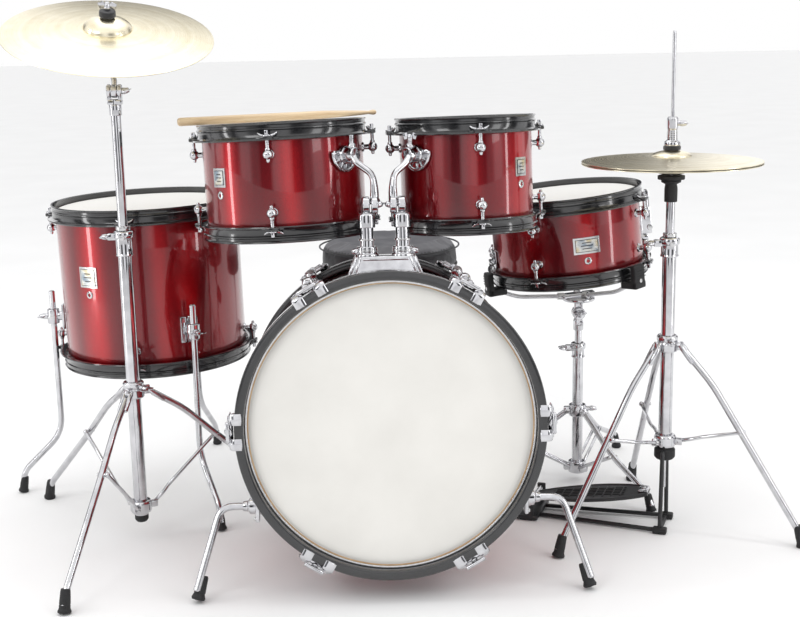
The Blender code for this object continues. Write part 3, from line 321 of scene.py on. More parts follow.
class Shape:
    """A piece in the making. Every point keeps where it was in its own part as the attribute local."""

    def __init__(self):
        self.bm = bmesh.new()
        self.local = self.bm.verts.layers.float_vector.new("local")
        self.looks = []

    def add(self, points, faces, look, place=Matrix()):
        if look not in self.looks:
            self.looks.append(look)
        slot = self.looks.index(look)
        verts = []
        for point in points:
            vert = self.bm.verts.new(place @ Vector(point))
            vert[self.local] = point
            verts.append(vert)
        for indices in faces:
            face = self.bm.faces.new([verts[k] for k in indices])
            face.material_index = slot
            face.smooth = True
        return self

    def lathe(self, outline, look, place=Matrix(), sides=48, closed=False, round_by=0.0):
        """Turns an outline about Z: closed, it makes a ring; open, it starts and ends on the axis."""
        if round_by:
            outline = rounded(outline, round_by, closed=closed)
        points = []
        rings = []
        for r, z in outline:
            start = len(points)
            if r < 1e-6:
                points.append((0, 0, z))
                rings.append([start])
                continue
            for k in range(sides):
                points.append((r * math.cos(TAU * k / sides), r * math.sin(TAU * k / sides), z))
            rings.append(list(range(start, start + sides)))
        pairs = list(zip(rings, rings[1:]))
        if closed:
            pairs.append((rings[-1], rings[0]))
        faces = []
        for one, two in pairs:
            for k in range(sides):
                corners = [one[k % len(one)], one[(k + 1) % len(one)], two[(k + 1) % len(two)],
                           two[k % len(two)]]
                corners = list(dict.fromkeys(corners))
                if len(corners) > 2:
                    faces.append(corners)
        return self.add(points, faces, look, place)

    def ring(self, outer, inner, low, high, look, place=Matrix(), sides=48, round_by=0.0008):
        outline = [(outer, high), (outer, low), (inner, low), (inner, high)]
        return self.lathe(outline, look, place, sides, True, round_by)

    def rod(self, start, end, radius, look, radius_end=None, sides=20, edge=0.0006):
        """A straight round bar or cone with softened ends."""
        tip = radius if radius_end is None else radius_end
        length = (Vector(end) - Vector(start)).length
        outline = [(0, 0), (radius, 0), (tip, length), (0, length)]
        return self.lathe(outline, look, between(start, end), sides, False, edge)

    def ball(self, centre, radius, look, place=Matrix(), sides=18):
        rings = 9
        outline = [(radius * math.sin(math.pi * k / rings), -radius * math.cos(math.pi * k / rings))
                   for k in range(1, rings)]
        return self.lathe([(0, -radius)] + outline + [(0, radius)], look, place @ shifted(centre), sides)

    def sweep(self, path, radius, look, sides=14, flat=1.0, radii=None, up=(0, 0, 1), place=Matrix()):
        """A round or flattened bar along a path, with domed ends."""
        path = [Vector(point) for point in path]
        radii = radii or [radius] * len(path)
        tangents = []
        for k in range(len(path)):
            tangents.append((path[min(k + 1, len(path) - 1)] - path[max(k - 1, 0)]).normalized())
        side = tangents[0].cross(Vector(up))
        side = side.normalized() if side.length > 0.05 else tangents[0].orthogonal().normalized()
        rows = []
        for spot, tangent, width in zip(path, tangents, radii):
            side = (side - tangent * side.dot(tangent)).normalized()
            rows.append((spot, tangent, side, width))
        first, last = rows[0], rows[-1]
        cap = 0.35
        rows.insert(0, (first[0] - first[1] * first[3] * cap, first[1], first[2], first[3] * 0.72))
        rows.append((last[0] + last[1] * last[3] * cap, last[1], last[2], last[3] * 0.72))
        points = []
        for spot, tangent, side, width in rows:
            lift = tangent.cross(side)
            for k in range(sides):
                turn = TAU * k / sides
                points.append(spot + side * math.cos(turn) * width * flat + lift * math.sin(turn) * width)
        faces = []
        for row in range(len(rows) - 1):
            for k in range(sides):
                a = row * sides + k
                b = row * sides + (k + 1) % sides
                faces.append((a, b, b + sides, a + sides))
        for row, spot in ((0, rows[0]), (len(rows) - 1, rows[-1])):
            points.append(spot[0])
            hub = len(points) - 1
            faces += [(row * sides + k, row * sides + (k + 1) % sides, hub) for k in range(sides)]
        return self.add(points, faces, look, place)

    def block(self, size, look, place=Matrix(), edge=0.001, top=(1.0, 1.0), segments=2):
        """A box with softened edges, its top narrowed by two factors."""
        bm = bmesh.new()
        bmesh.ops.create_cube(bm, size=1.0)
        for vert in bm.verts:
            factor = top if vert.co.z > 0 else (1.0, 1.0)
            vert.co = Vector((vert.co.x * size[0] * factor[0], vert.co.y * size[1] * factor[1],
                              vert.co.z * size[2]))
        bmesh.ops.bevel(bm, geom=bm.edges[:], offset=min(edge, 0.45 * min(size)), segments=segments,
                        affect="EDGES", profile=0.5)
        bm.verts.index_update()
        self.add([vert.co.copy() for vert in bm.verts], [[v.index for v in face.verts] for face in bm.faces],
                 look, place)
        bm.free()
        return self

    def wing_screw(self, place, look, span=0.026, height=0.011):
        """A wing screw with its shank along -Z of place."""
        self.lathe([(0, -0.004), (0.0042, -0.004), (0.0048, 0.001), (0.0036, 0.006), (0, 0.0072)], look,
                   place, 14, False, 0.001)
        for side in (-1, 1):
            lean = place @ at(side * span * 0.27, 0, height * 0.42) @ spun(side * 0.42, "Y")
            self.block((span * 0.42, 0.0026, height), look, lean, 0.00125, (0.75, 0.8))
        return self

    def absorb(self, mesh, look, place=Matrix()):
        """Takes in a plain mesh that a tree made."""
        kept = mesh.attributes.get("local")
        spots = [vert.co.copy() for vert in mesh.vertices]
        start = len(self.bm.verts)
        self.add(spots, [list(poly.vertices) for poly in mesh.polygons], look, place)
        if kept:
            self.bm.verts.ensure_lookup_table()
            for k, item in enumerate(kept.data):
                self.bm.verts[start + k][self.local] = item.vector
        bpy.data.meshes.remove(mesh)
        return self

    def object(self, name, place=Matrix(), crease=38):
        """The shape as a plain object, with its place in its mesh."""
        bmesh.ops.recalc_face_normals(self.bm, faces=self.bm.faces[:])
        mesh = bpy.data.meshes.new(name)
        self.bm.to_mesh(mesh)
        self.bm.free()
        mesh.transform(place)
        for look in self.looks:
            mesh.materials.append(look)
        mesh.set_sharp_from_angle(angle=math.radians(crease))
        made = bpy.data.objects.new(name, mesh)
        bpy.context.scene.collection.objects.link(made)
        return made

    def piece(self, name, body, nodes=(), place=Matrix(), crease=38):
        made = self.object(name, LAYOUT @ place, crease)
        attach(made, body)
        if nodes:
            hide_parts(*nodes)
        return made


# ---------------------------------------------------------------- trees for what repeats
def new_tree(name, inputs):
    tree = bpy.data.node_groups.new(name, "GeometryNodeTree")
    tree.interface.new_socket("Part", in_out="INPUT", socket_type="NodeSocketGeometry")
    for label, kind, value in inputs:
        socket = tree.interface.new_socket(label, in_out="INPUT", socket_type="NodeSocket" + kind)
        if value is not None:
            socket.default_value = value
    tree.interface.new_socket("Parts", in_out="OUTPUT", socket_type="NodeSocketGeometry")
    return tree, tree.nodes.new("NodeGroupInput"), tree.nodes.new("NodeGroupOutput")


def end_tree(tree, given, result, geometry):
    """Every tree ends in real geometry with its finish on it."""
    real = tree.nodes.new("GeometryNodeRealizeInstances")
    paint = tree.nodes.new("GeometryNodeSetMaterial")
    tree.links.new(geometry, real.inputs["Geometry"])
    tree.links.new(real.outputs["Geometry"], paint.inputs["Geometry"])
    tree.links.new(given.outputs["Finish"], paint.inputs["Material"])
    tree.links.new(paint.outputs["Geometry"], result.inputs["Parts"])
    return tree


def ring_tree():
    """Copies of a part in a ring round the Z axis."""
    tree, given, result = new_tree("parts_in_a_ring", [("Count", "Int", 4), ("First angle", "Float", 0.0),
                                                       ("Whole turn", "Float", TAU),
                                                       ("Finish", "Material", None)])
    line = tree.nodes.new("GeometryNodeMeshLine")
    line.inputs["Offset"].default_value = (0, 0, 0)
    tree.links.new(given.outputs["Count"], line.inputs["Count"])
    index = tree.nodes.new("GeometryNodeInputIndex")
    share = tree.nodes.new("ShaderNodeMath")
    share.operation = "DIVIDE"
    tree.links.new(index.outputs["Index"], share.inputs[0])
    tree.links.new(given.outputs["Count"], share.inputs[1])
    turn = tree.nodes.new("ShaderNodeMath")
    turn.operation = "MULTIPLY_ADD"
    tree.links.new(share.outputs[0], turn.inputs[0])
    tree.links.new(given.outputs["Whole turn"], turn.inputs[1])
    tree.links.new(given.outputs["First angle"], turn.inputs[2])
    angles = tree.nodes.new("ShaderNodeCombineXYZ")
    tree.links.new(turn.outputs[0], angles.inputs["Z"])
    copies = tree.nodes.new("GeometryNodeInstanceOnPoints")
    tree.links.new(line.outputs["Mesh"], copies.inputs["Points"])
    tree.links.new(given.outputs["Part"], copies.inputs["Instance"])
    tree.links.new(angles.outputs["Vector"], copies.inputs["Rotation"])
    return end_tree(tree, given, result, copies.outputs["Instances"])


def row_tree():
    """Copies of a part in a straight row."""
    tree, given, result = new_tree("parts_in_a_row", [
        ("Count", "Int", 8), ("Step", "Vector", (0.01, 0, 0)), ("Finish", "Material", None)])
    line = tree.nodes.new("GeometryNodeMeshLine")
    tree.links.new(given.outputs["Count"], line.inputs["Count"])
    tree.links.new(given.outputs["Step"], line.inputs["Offset"])
    copies = tree.nodes.new("GeometryNodeInstanceOnPoints")
    tree.links.new(line.outputs["Mesh"], copies.inputs["Points"])
    tree.links.new(given.outputs["Part"], copies.inputs["Instance"])
    return end_tree(tree, given, result, copies.outputs["Instances"])


def coil_tree():
    """Coiled wires side by side, as under a snare drum or in a return spring."""
    tree, given, result = new_tree("coiled_wires", [("Wires", "Int", 12), ("Step", "Vector", (0, 0.003, 0)),
                                                    ("Turns", "Float", 60.0), ("Length", "Float", 0.1),
                                                    ("Coil radius", "Float", 0.001),
                                                    ("Wire radius", "Float", 0.0003),
                                                    ("Finish", "Material", None)])
    spiral = tree.nodes.new("GeometryNodeCurveSpiral")
    spiral.inputs["Resolution"].default_value = 7
    tree.links.new(given.outputs["Turns"], spiral.inputs["Rotations"])
    tree.links.new(given.outputs["Length"], spiral.inputs["Height"])
    tree.links.new(given.outputs["Coil radius"], spiral.inputs["Start Radius"])
    tree.links.new(given.outputs["Coil radius"], spiral.inputs["End Radius"])
    section = tree.nodes.new("GeometryNodeCurvePrimitiveCircle")
    section.inputs["Resolution"].default_value = 4
    tree.links.new(given.outputs["Wire radius"], section.inputs["Radius"])
    wire = tree.nodes.new("GeometryNodeCurveToMesh")
    wire.inputs["Fill Caps"].default_value = True
    tree.links.new(spiral.outputs["Curve"], wire.inputs["Curve"])
    tree.links.new(section.outputs["Curve"], wire.inputs["Profile Curve"])
    line = tree.nodes.new("GeometryNodeMeshLine")
    tree.links.new(given.outputs["Wires"], line.inputs["Count"])
    tree.links.new(given.outputs["Step"], line.inputs["Offset"])
    copies = tree.nodes.new("GeometryNodeInstanceOnPoints")
    tree.links.new(line.outputs["Mesh"], copies.inputs["Points"])
    tree.links.new(wire.outputs["Mesh"], copies.inputs["Instance"])
    return end_tree(tree, given, result, copies.outputs["Instances"])


RING = ring_tree()
ROW = row_tree()
COILS = coil_tree()


def grown(part, tree, look, values):
    """The plain mesh that a tree makes of a part."""
    seed = part.object("part_for_" + tree.name)
    modifier = seed.modifiers.new("grow", "NODES")
    modifier.node_group = tree
    values = {**values, "Finish": look}
    for item in tree.interface.items_tree:
        if item.in_out == "INPUT" and item.name in values:
            modifier[item.identifier] = values[item.name]
    bpy.context.view_layer.update()
    depsgraph = bpy.context.evaluated_depsgraph_get()
    mesh = bpy.data.meshes.new_from_object(seed.evaluated_get(depsgraph), depsgraph=depsgraph)
    bpy.data.objects.remove(seed, do_unlink=True)
    return mesh


def around(shape, part, look, count, first, place=Matrix(), turn=TAU):
    shape.absorb(grown(part, RING, look, {"Count": count, "First angle": first, "Whole turn": turn}), look,
                 place)


def along(shape, part, look, count, step, place=Matrix()):
    shape.absorb(grown(part, ROW, look, {"Count": count, "Step": step}), look, place)


# ---------------------------------------------------------------- bass drum
BASS_RADIUS = 0.203
BASS_WALL = 0.006
BASS_DEPTH = 0.305
BASS_TILT = math.radians(5.9)
BASS_HOOP = BASS_RADIUS + 0.0145
HOOP_DEPTH = 0.038
HOOP_PROUD = 0.017
BASS_LENGTH = BASS_DEPTH + 2 * HOOP_PROUD
BASS_AT = (at(0, 0, BASS_HOOP * math.cos(BASS_TILT) + BASS_LENGTH * math.sin(BASS_TILT))
           @ spun(math.pi / 2 - BASS_TILT, "X"))
BASS_REAR_AT = BASS_AT @ at(0, 0, -BASS_LENGTH) @ spun(math.pi, "Y")
BASS_ROD_OUT = BASS_HOOP + 0.0085
BASS_LUG_BACK = 0.100


def bass_shell():
    top = -HOOP_PROUD
    low = top - BASS_DEPTH
    wrap = Shape()
    wrap.ring(BASS_RADIUS, BASS_RADIUS - 0.0012, low + 0.001, top - 0.001, WRAP, sides=128)
    wrap.ring(BASS_RADIUS - 0.0010, BASS_RADIUS - BASS_WALL, low, top, PLY, sides=128, round_by=0.002)
    wrap.piece("bass_shell_wrapped", "kit_frame", ["bass_shell"], BASS_AT)
    lug = Shape()
    lug.rod((BASS_RADIUS - 0.001, 0, 0), (BASS_RADIUS + 0.0030, 0, 0), 0.0105, CHROME, 0.0085)
    lug.rod((BASS_RADIUS + 0.0025, 0, 0), (BASS_ROD_OUT, 0, 0), 0.0050, CHROME)
    lug.ball((BASS_ROD_OUT, 0, 0), 0.0088, CHROME)
    lug.rod((BASS_ROD_OUT, 0, 0.006), (BASS_ROD_OUT, 0, 0.0145), 0.0052, CHROME, 0.0042)
    lug.rod((BASS_ROD_OUT, 0, -0.007), (BASS_ROD_OUT, 0, -0.0112), 0.0034, CHROME, 0.0022)
    lugs = Shape()
    seed = grown(lug, RING, CHROME, {"Count": 6, "First angle": 0.0})
    copy = seed.copy()
    lugs.absorb(seed, CHROME, BASS_AT @ at(0, 0, -BASS_LUG_BACK))
    lugs.absorb(copy, CHROME, BASS_REAR_AT @ at(0, 0, -BASS_LUG_BACK))
    for side in (-1, 1):
        plate = at(side * 0.1935, SPUR_BACK, SPUR_UP)
        lugs.block((0.006, 0.036, 0.040), CHROME, plate, 0.0025)
        lugs.rod((side * 0.186, SPUR_BACK, SPUR_UP), (side * 0.2055, SPUR_BACK, SPUR_UP), 0.0125, CHROME,
                 0.0115, sides=28)
        lugs.rod((side * 0.2052, SPUR_BACK, SPUR_UP), (side * 0.2070, SPUR_BACK, SPUR_UP), 0.0092, CHROME,
                 sides=28)
        for up in (-1, 1):
            lugs.rod((side * 0.194, SPUR_BACK + up * 0.0135, SPUR_UP + up * 0.0150),
                     (side * 0.1985, SPUR_BACK + up * 0.0135, SPUR_UP + up * 0.0150), 0.0028, BRIGHT)
        lugs.wing_screw(between((side * 0.200, SPUR_BACK, 0.133), (side * 0.203, SPUR_BACK, 0.146)), CHROME,
                        0.020, 0.008)
    lugs.piece("bass_lugs_and_spur_brackets", "kit_frame")


def bass_hoop_and_claws(place, name, head_finish, nodes, head_nodes):
    hoop = Shape()
    low = -HOOP_DEPTH
    hoop.lathe([(BASS_HOOP, 0), (BASS_HOOP, low), (BASS_RADIUS + 0.0012, low), (BASS_RADIUS + 0.0012, 0)],
               HOOP_BLACK, sides=144, closed=True, round_by=0.0026)
    hoop.piece(name + "_hoop_turned", "kit_frame", nodes, place)
    film = -HOOP_PROUD + 0.0019
    head = Shape()
    head.lathe([(0, film), (0.080, film), (0.160, film), (0.1880, film), (0.1935, film - 0.0002),
                (0.1975, film - 0.0012), (0.2002, film - 0.0030), (0.2010, film - 0.0036),
                (0, film - 0.0036)], head_finish, sides=144)
    head.ring(0.2040, 0.2004, film - 0.0034, film + 0.0010, BRIGHT, sides=144, round_by=0.0012)
    head.piece(name + "_head_film", "kit_frame", head_nodes, place)
    claw = Shape()
    lip = BASS_HOOP
    for side in (-1, 1):
        hook = smooth_path([(lip - 0.0105, side * 0.0175, 0.0006), (lip + 0.0016, side * 0.0175, 0.0014),
                            (lip + 0.0058, side * 0.0175, -0.0040), (lip + 0.0062, side * 0.0175, -0.0215)],
                           0.005)
        claw.sweep(hook, 0.0017, CHROME, 12, flat=4.8)
        claw.block((0.0030, 0.0100, 0.0120), CHROME, at(lip + 0.0075, side * 0.0165, -0.0120), 0.0012)
    claw.block((0.0080, 0.0350, 0.0125), CHROME, at(lip + 0.0060, 0, -0.0165), 0.0022)
    claw.rod((BASS_ROD_OUT, 0, -0.0300), (BASS_ROD_OUT, 0, -0.0050), 0.0058, CHROME, 0.0052)
    claw.rod((BASS_ROD_OUT, 0, -BASS_LUG_BACK + 0.012), (BASS_ROD_OUT, 0, -0.002), 0.0028, CHROME)
    claw.rod((BASS_ROD_OUT, -0.0125, 0.0012), (BASS_ROD_OUT, 0.0125, 0.0012), 0.0026, CHROME)
    claw.ball((BASS_ROD_OUT, -0.0125, 0.0010), 0.0030, CHROME, sides=12)
    claw.ball((BASS_ROD_OUT, 0.0125, 0.0010), 0.0030, CHROME, sides=12)
    claws = Shape()
    around(claws, claw, CHROME, 6, 0.0)
    claws.piece(name + "_claws", "kit_frame", (), place)


SPUR_BACK = 0.060
SPUR_UP = 0.1215
SPUR_BEND_OUT = BASS_RADIUS + 0.044
SPUR_FOOT_OUT = BASS_RADIUS + 0.078


def spurs():
    for side, name in ((-1, "left"), (1, "right")):
        spur = Shape()
        foot = Vector((side * SPUR_FOOT_OUT, 0.0, 0.0))
        bend = Vector((side * SPUR_BEND_OUT, SPUR_BACK, SPUR_UP))
        path = smooth_path([(side * (BASS_RADIUS - 0.0075), SPUR_BACK, SPUR_UP), bend,
                            foot + Vector((side * -0.001, 0.002, 0.020))], 0.018)
        spur.sweep(path, 0.0052, CHROME, 18)
        spur.rod((side * 0.2078, SPUR_BACK, SPUR_UP), (side * 0.2150, SPUR_BACK, SPUR_UP), 0.0080, CHROME,
                 0.0070)
        lean = (bend - foot).normalized()
        tip = between(foot + lean * 0.0080, foot + lean)
        spur.lathe([(0, -0.0030), (0.0088, -0.0020), (0.0100, 0.0010), (0.0084, 0.0055), (0.0078, 0.0070),
                    (0.0084, 0.0085), (0.0072, 0.0300), (0.0060, 0.0325), (0, 0.0325)], RUBBER, tip, 24)
        spur.piece("bass_spur_%s_bent" % name, "spur_" + name, ["bass_spur_" + name])


# ---------------------------------------------------------------- drums on stands, mounts and legs
TOM_LEFT = dict(radius=0.1225, depth=0.152, centre=(-0.1487, 0.28, 2 * BASS_RADIUS + 0.163), roll=-1.7,
                tilt=3.2, first=-6, badge=(222.0, 0.010, 0.027, 0.028))
TOM_RIGHT = dict(radius=0.1017, depth=0.152, centre=(0.131, 0.28, 2 * BASS_RADIUS + 0.165), roll=-0.9,
                 tilt=3.2, first=6, badge=(318.0, 0.010, 0.026, 0.028))
FLOOR_TOM = dict(radius=0.1525, depth=0.254, centre=(-0.3935, 0.495, 0.380), roll=-1.2, tilt=0, first=-4,
                 badge=(237.0, 0.028, 0.036, 0.034))
SNARE = dict(radius=0.127, depth=0.127, centre=(0.3195, 0.475, 0.4440), roll=-5.5, tilt=0, first=-31,
             badge=(275.5, -0.004, 0.044, 0.027))
HOOP_GAP = 0.0022
HOOP_WALL = 0.0045
HOOP_RISE = 0.011
HOOP_DROP = 0.014
FLANGE = 0.0135
ROD_OUT = 0.0155
LUG_INSET = 0.034


def drum_at(drum):
    return (shifted(drum["centre"]) @ spun(math.radians(drum["roll"]), "Y")
            @ spun(math.radians(-drum["tilt"]), "X"))


def stamped_hoop(shape, radius, edge, place):
    """A hoop with a rolled lip, two beads and a turned-out flange."""
    inner = radius + HOOP_GAP
    outer = inner + HOOP_WALL - 0.0014
    out = radius + FLANGE
    outline = [(inner, edge + HOOP_RISE - 0.0012), (inner + 0.0012, edge + HOOP_RISE),
               (outer + 0.0008, edge + HOOP_RISE), (outer + 0.0017, edge + HOOP_RISE - 0.0012),
               (outer + 0.0012, edge + HOOP_RISE - 0.0028), (outer, edge + HOOP_RISE - 0.0038),
               (outer, edge + 0.0040), (outer + 0.0013, edge + 0.0026), (outer + 0.0014, edge + 0.0012),
               (outer, edge - 0.0004), (outer, edge - HOOP_DROP + 0.0078),
               (outer + 0.0012, edge - HOOP_DROP + 0.0048), (outer + 0.0040, edge - HOOP_DROP + 0.0032),
               (out - 0.0006, edge - HOOP_DROP + 0.0026), (out, edge - HOOP_DROP + 0.0014),
               (out - 0.0006, edge - HOOP_DROP), (outer + 0.0020, edge - HOOP_DROP),
               (outer - 0.0012, edge - HOOP_DROP + 0.0016), (inner + 0.0004, edge - HOOP_DROP + 0.0040),
               (inner + 0.0004, edge + 0.0020), (inner, edge + 0.0040)]
    shape.lathe(outline, HOOP_BLACK, place, 112, True)


def film(shape, radius, edge, place):
    """A coated head: flat playing area, collar rounded down over the shell's edge, thin metal ring."""
    top = edge + 0.0019
    shape.lathe([(0, top), (radius * 0.5, top), (radius - 0.010, top), (radius - 0.0055, top - 0.0003),
                 (radius - 0.0020, top - 0.0014), (radius + 0.0006, top - 0.0040),
                 (radius + 0.0006, edge - 0.0060), (radius - 0.0002, edge - 0.0060),
                 (radius - 0.0030, edge + 0.0002), (0, edge + 0.0002)], HEAD_WHITE, place, 112)
    shape.ring(radius + 0.0021, radius + 0.0004, edge - 0.0085, edge - 0.0035, BRIGHT, place, 96, 0.0006)


def badge(shape, drum):
    """A framed plate curved to the shell, with a generic pattern of raised bars."""
    azimuth, height, width, tall = drum["badge"]
    radius = drum["radius"]
    span = width / radius / 2
    middle = math.radians(azimuth)
    steps = 12
    for inset, thick, look in ((0.0, 0.0014, BRIGHT), (0.0032, 0.0018, HOOP_BLACK), (0.0042, 0.0021, FOIL)):
        half = tall / 2 - inset
        turn = span - inset / radius
        points = []
        for k in range(steps + 1):
            angle = middle - turn + 2 * turn * k / steps
            for out in (radius - 0.0004, radius + thick):
                for z in (-half, half):
                    points.append((out * math.cos(angle), out * math.sin(angle), height + z))
        faces = [(0, 1, 3, 2), (4 * steps, 4 * steps + 2, 4 * steps + 3, 4 * steps + 1)]
        for k in range(steps):
            a, b = 4 * k, 4 * k + 4
            faces += [(a, b, b + 1, a + 1), (a + 2, a + 3, b + 3, b + 2), (a + 1, b + 1, b + 3, a + 3),
                      (a, a + 2, b + 2, b)]
        shape.add(points, faces, look)
    for k, rise in enumerate((-0.18, 0.0, 0.18)):
        mark = spun(middle) @ at(radius + 0.0020, 0, height + rise * tall)
        shape.block((0.0006, width * (0.46 - 0.10 * abs(k - 1)), tall * 0.055), HOOP_BLACK, mark, 0.0003)


def drum(name, spec, body, shell_joined=None):
    """Shell, hoops, heads, lugs, rods and badge of one drum, all of them in the drum's own place."""
    radius, depth = spec["radius"], spec["depth"]
    half = depth / 2
    place = drum_at(spec)
    first = math.radians(spec["first"])
    wrap = Shape()
    wrap.ring(radius, radius - 0.0011, -half + 0.001, half - 0.001, WRAP, sides=112)
    wrap.ring(radius - 0.0009, radius - 0.006, -half, half, PLY, sides=112, round_by=0.002)
    wrap.piece(name + "_shell_wrapped", body, [name + "_shell"], place)
    hoops = Shape()
    stamped_hoop(hoops, radius, half, Matrix())
    stamped_hoop(hoops, radius, half, spun(math.pi, "X"))
    ear = Shape()
    ear.block((0.0125, 0.020, 0.0062), HOOP_BLACK, at(radius + 0.0150, 0, half - HOOP_DROP + 0.0034), 0.0020)
    ear.block((0.0100, 0.034, 0.0040), HOOP_BLACK, at(radius + 0.0100, 0, half - HOOP_DROP + 0.0030), 0.0018)
    both = grown(ear, RING, HOOP_BLACK, {"Count": 4, "First angle": 0.0})
    lower = both.copy()
    hoops.absorb(both, HOOP_BLACK, spun(first))
    hoops.absorb(lower, HOOP_BLACK, spun(first) @ spun(math.pi, "X"))
    hoops.piece(name + "_hoops", body, [name + "_batter_head", name + "_resonant_head"],
                place)
    heads = Shape()
    film(heads, radius, half, Matrix())
    film(heads, radius, half, spun(math.pi, "X"))
    heads.piece(name + "_heads", body, (), place)
    rod = radius + ROD_OUT
    ear_top = half - HOOP_DROP + 0.0066
    lug = Shape()
    lug.rod((radius - 0.0004, 0, half - LUG_INSET), (radius + 0.0026, 0, half - LUG_INSET), 0.0078, CHROME,
            0.0066)
    lug.rod((radius + 0.0020, 0, half - LUG_INSET), (rod, 0, half - LUG_INSET), 0.0040, CHROME)
    lug.ball((rod, 0, half - LUG_INSET), 0.0076, CHROME)
    lug.rod((rod, 0, half - LUG_INSET - 0.0066), (rod, 0, half - LUG_INSET - 0.0112), 0.0030, CHROME, 0.0020)
    lug.rod((rod, 0, half - LUG_INSET + 0.0060), (rod, 0, half - LUG_INSET + 0.0100), 0.0042, CHROME, 0.0034)
    lug.rod((rod, 0, half - LUG_INSET + 0.007), (rod, 0, ear_top), 0.0026, CHROME)
    lug.rod((rod, 0, ear_top - 0.0004), (rod, 0, ear_top + 0.0016), 0.0062, CHROME, sides=24)
    lug.block((0.0052, 0.0052, 0.0070), CHROME, at(rod, 0, ear_top + 0.0048), 0.0008)
    for side in (-1, 1):
        lug.sweep([(rod - 0.0030, side * 0.0050, ear_top - 0.0002), (rod - 0.0050, side * 0.0098,
                                                                     ear_top + 0.0014),
                   (rod - 0.0066, side * 0.0138, ear_top + 0.0044)], 0.0018, CHROME, 10,
                  radii=[0.0024, 0.0019, 0.0011], flat=1.2)
    upper = grown(lug, RING, CHROME, {"Count": 4, "First angle": 0.0})
    under = upper.copy()
    metal = Shape()
    metal.absorb(upper, CHROME, spun(first))
    metal.absorb(under, CHROME, spun(first) @ spun(math.pi, "X"))
    if shell_joined:
        shell_joined(metal, place)
    metal.piece(name + "_lugs_and_rods", body, (), place)
    plate = Shape()
    badge(plate, spec)
    vent = spun(math.radians(spec["badge"][0])) @ at(radius, 0,
                                                     spec["badge"][1] - spec["badge"][3] / 2 - 0.012)
    plate.lathe([(0.0062, -0.0010), (0.0062, 0.0012), (0.0030, 0.0020), (0.0026, -0.0010)], BRIGHT,
                vent @ spun(math.pi / 2, "Y"), 28, True, 0.0006)
    plate.piece(name + "_badge", body, (), place)
    return place


# ---------------------------------------------------------------- tom mount, posts and arms
MOUNT_BACK = 0.135
POST_X = 0.0262
POST_RADIUS = 0.0100
KNUCKLE_UP = 0.1010


def tom_mount():
    """A cast saddle that fits the shell, with side ribs, a sunk panel and two receivers."""
    mount = Shape()
    top = BASS_RADIUS + 0.0275
    columns = 17
    points = []
    for back in (0.0285, -0.0285):
        for k in range(columns):
            share = k / (columns - 1) * 2 - 1
            low_x = share * 0.0560
            high_x = share * 0.0445
            points.append((low_x, math.sqrt((BASS_RADIUS + 0.0004) ** 2 - low_x ** 2), back))
            points.append((high_x, top - 0.0012 * share ** 2, back * 0.78))
    faces = []
    row = 2 * columns
    for k in range(columns - 1):
        a = 2 * k
        faces += [(a, a + 2, a + 3, a + 1), (row + a, row + a + 1, row + a + 3, row + a + 2),
                  (a + 1, a + 3, row + a + 3, row + a + 1), (a, row + a, row + a + 2, a + 2)]
    for a in (0, 2 * columns - 2):
        faces.append((a, a + 1, row + a + 1, row + a))
    body = bmesh.new()
    verts = [body.verts.new(point) for point in points]
    for face in faces:
        body.faces.new([verts[k] for k in face])
    bmesh.ops.recalc_face_normals(body, faces=body.faces[:])
    sharp = [edge for edge in body.edges if edge.calc_face_angle(0) > 0.6]
    bmesh.ops.bevel(body, geom=sharp, offset=0.0026, segments=3, affect="EDGES", profile=0.6)
    body.verts.index_update()
    here = BASS_AT @ at(0, 0, -MOUNT_BACK)
    mount.add([vert.co.copy() for vert in body.verts], [[v.index for v in face.verts] for face in body.faces],
              CHROME, here)
    body.free()
    for side in (-1, 1):
        for x_low, x_high in ((0.0470, 0.0372), (0.0545, 0.0432)):
            foot = math.sqrt(BASS_RADIUS ** 2 - x_low ** 2)
            for front in (-1, 1):
                mount.sweep([here @ Vector((side * x_low, foot + 0.001, front * 0.0285)),
                             here @ Vector((side * x_high, top - 0.002, front * 0.0232))], 0.0024, CHROME, 10)
    for y, x, z in ((0.0052, 0.0385, 0.0272), (0.0225, 0.0325, 0.0238)):
        mount.sweep([here @ Vector((-x, BASS_RADIUS + y, z)), here @ Vector((x, BASS_RADIUS + y, z))], 0.0014,
                    CHROME, 10)
    for side in (-1, 1):
        receiver = here @ at(side * POST_X, 0, 0) @ spun(-math.pi / 2, "X")
        mount.lathe([(0.0180, top - 0.003), (0.0172, top + 0.0020), (0.0150, top + 0.0034),
                     (0.0150, top + 0.0120), (0.0142, top + 0.0132), (0.0104, top + 0.0132),
                     (0.0104, top - 0.003)], CHROME, receiver, 40, True, 0.0008)
        mount.lathe([(0.0158, top + 0.0052), (0.0158, top + 0.0088), (0.0148, top + 0.0092),
                     (0.0148, top + 0.0048)], BRIGHT, receiver, 40, True, 0.0004)
        bolt = here @ Vector((side * (POST_X + 0.016), top + 0.0062, 0.003))
        mount.rod(here @ Vector((side * POST_X, top + 0.0062, 0.003)), bolt, 0.0048, CHROME)
        mount.wing_screw(between(bolt, bolt + Vector((side, 0, 0))), CHROME, 0.018, 0.0075)
    mount.piece("tom_mount_cast", "kit_frame", ["tom_mount"])


def teeth(shape, place, radius, look):
    """A crown of ratchet teeth on a knuckle's face."""
    tooth = Shape()
    tooth.block((0.0032, 0.0011, 0.0010), look, at(radius - 0.0022, 0, 0), 0.0003, segments=1)
    around(shape, tooth, look, 24, 0.0, place)


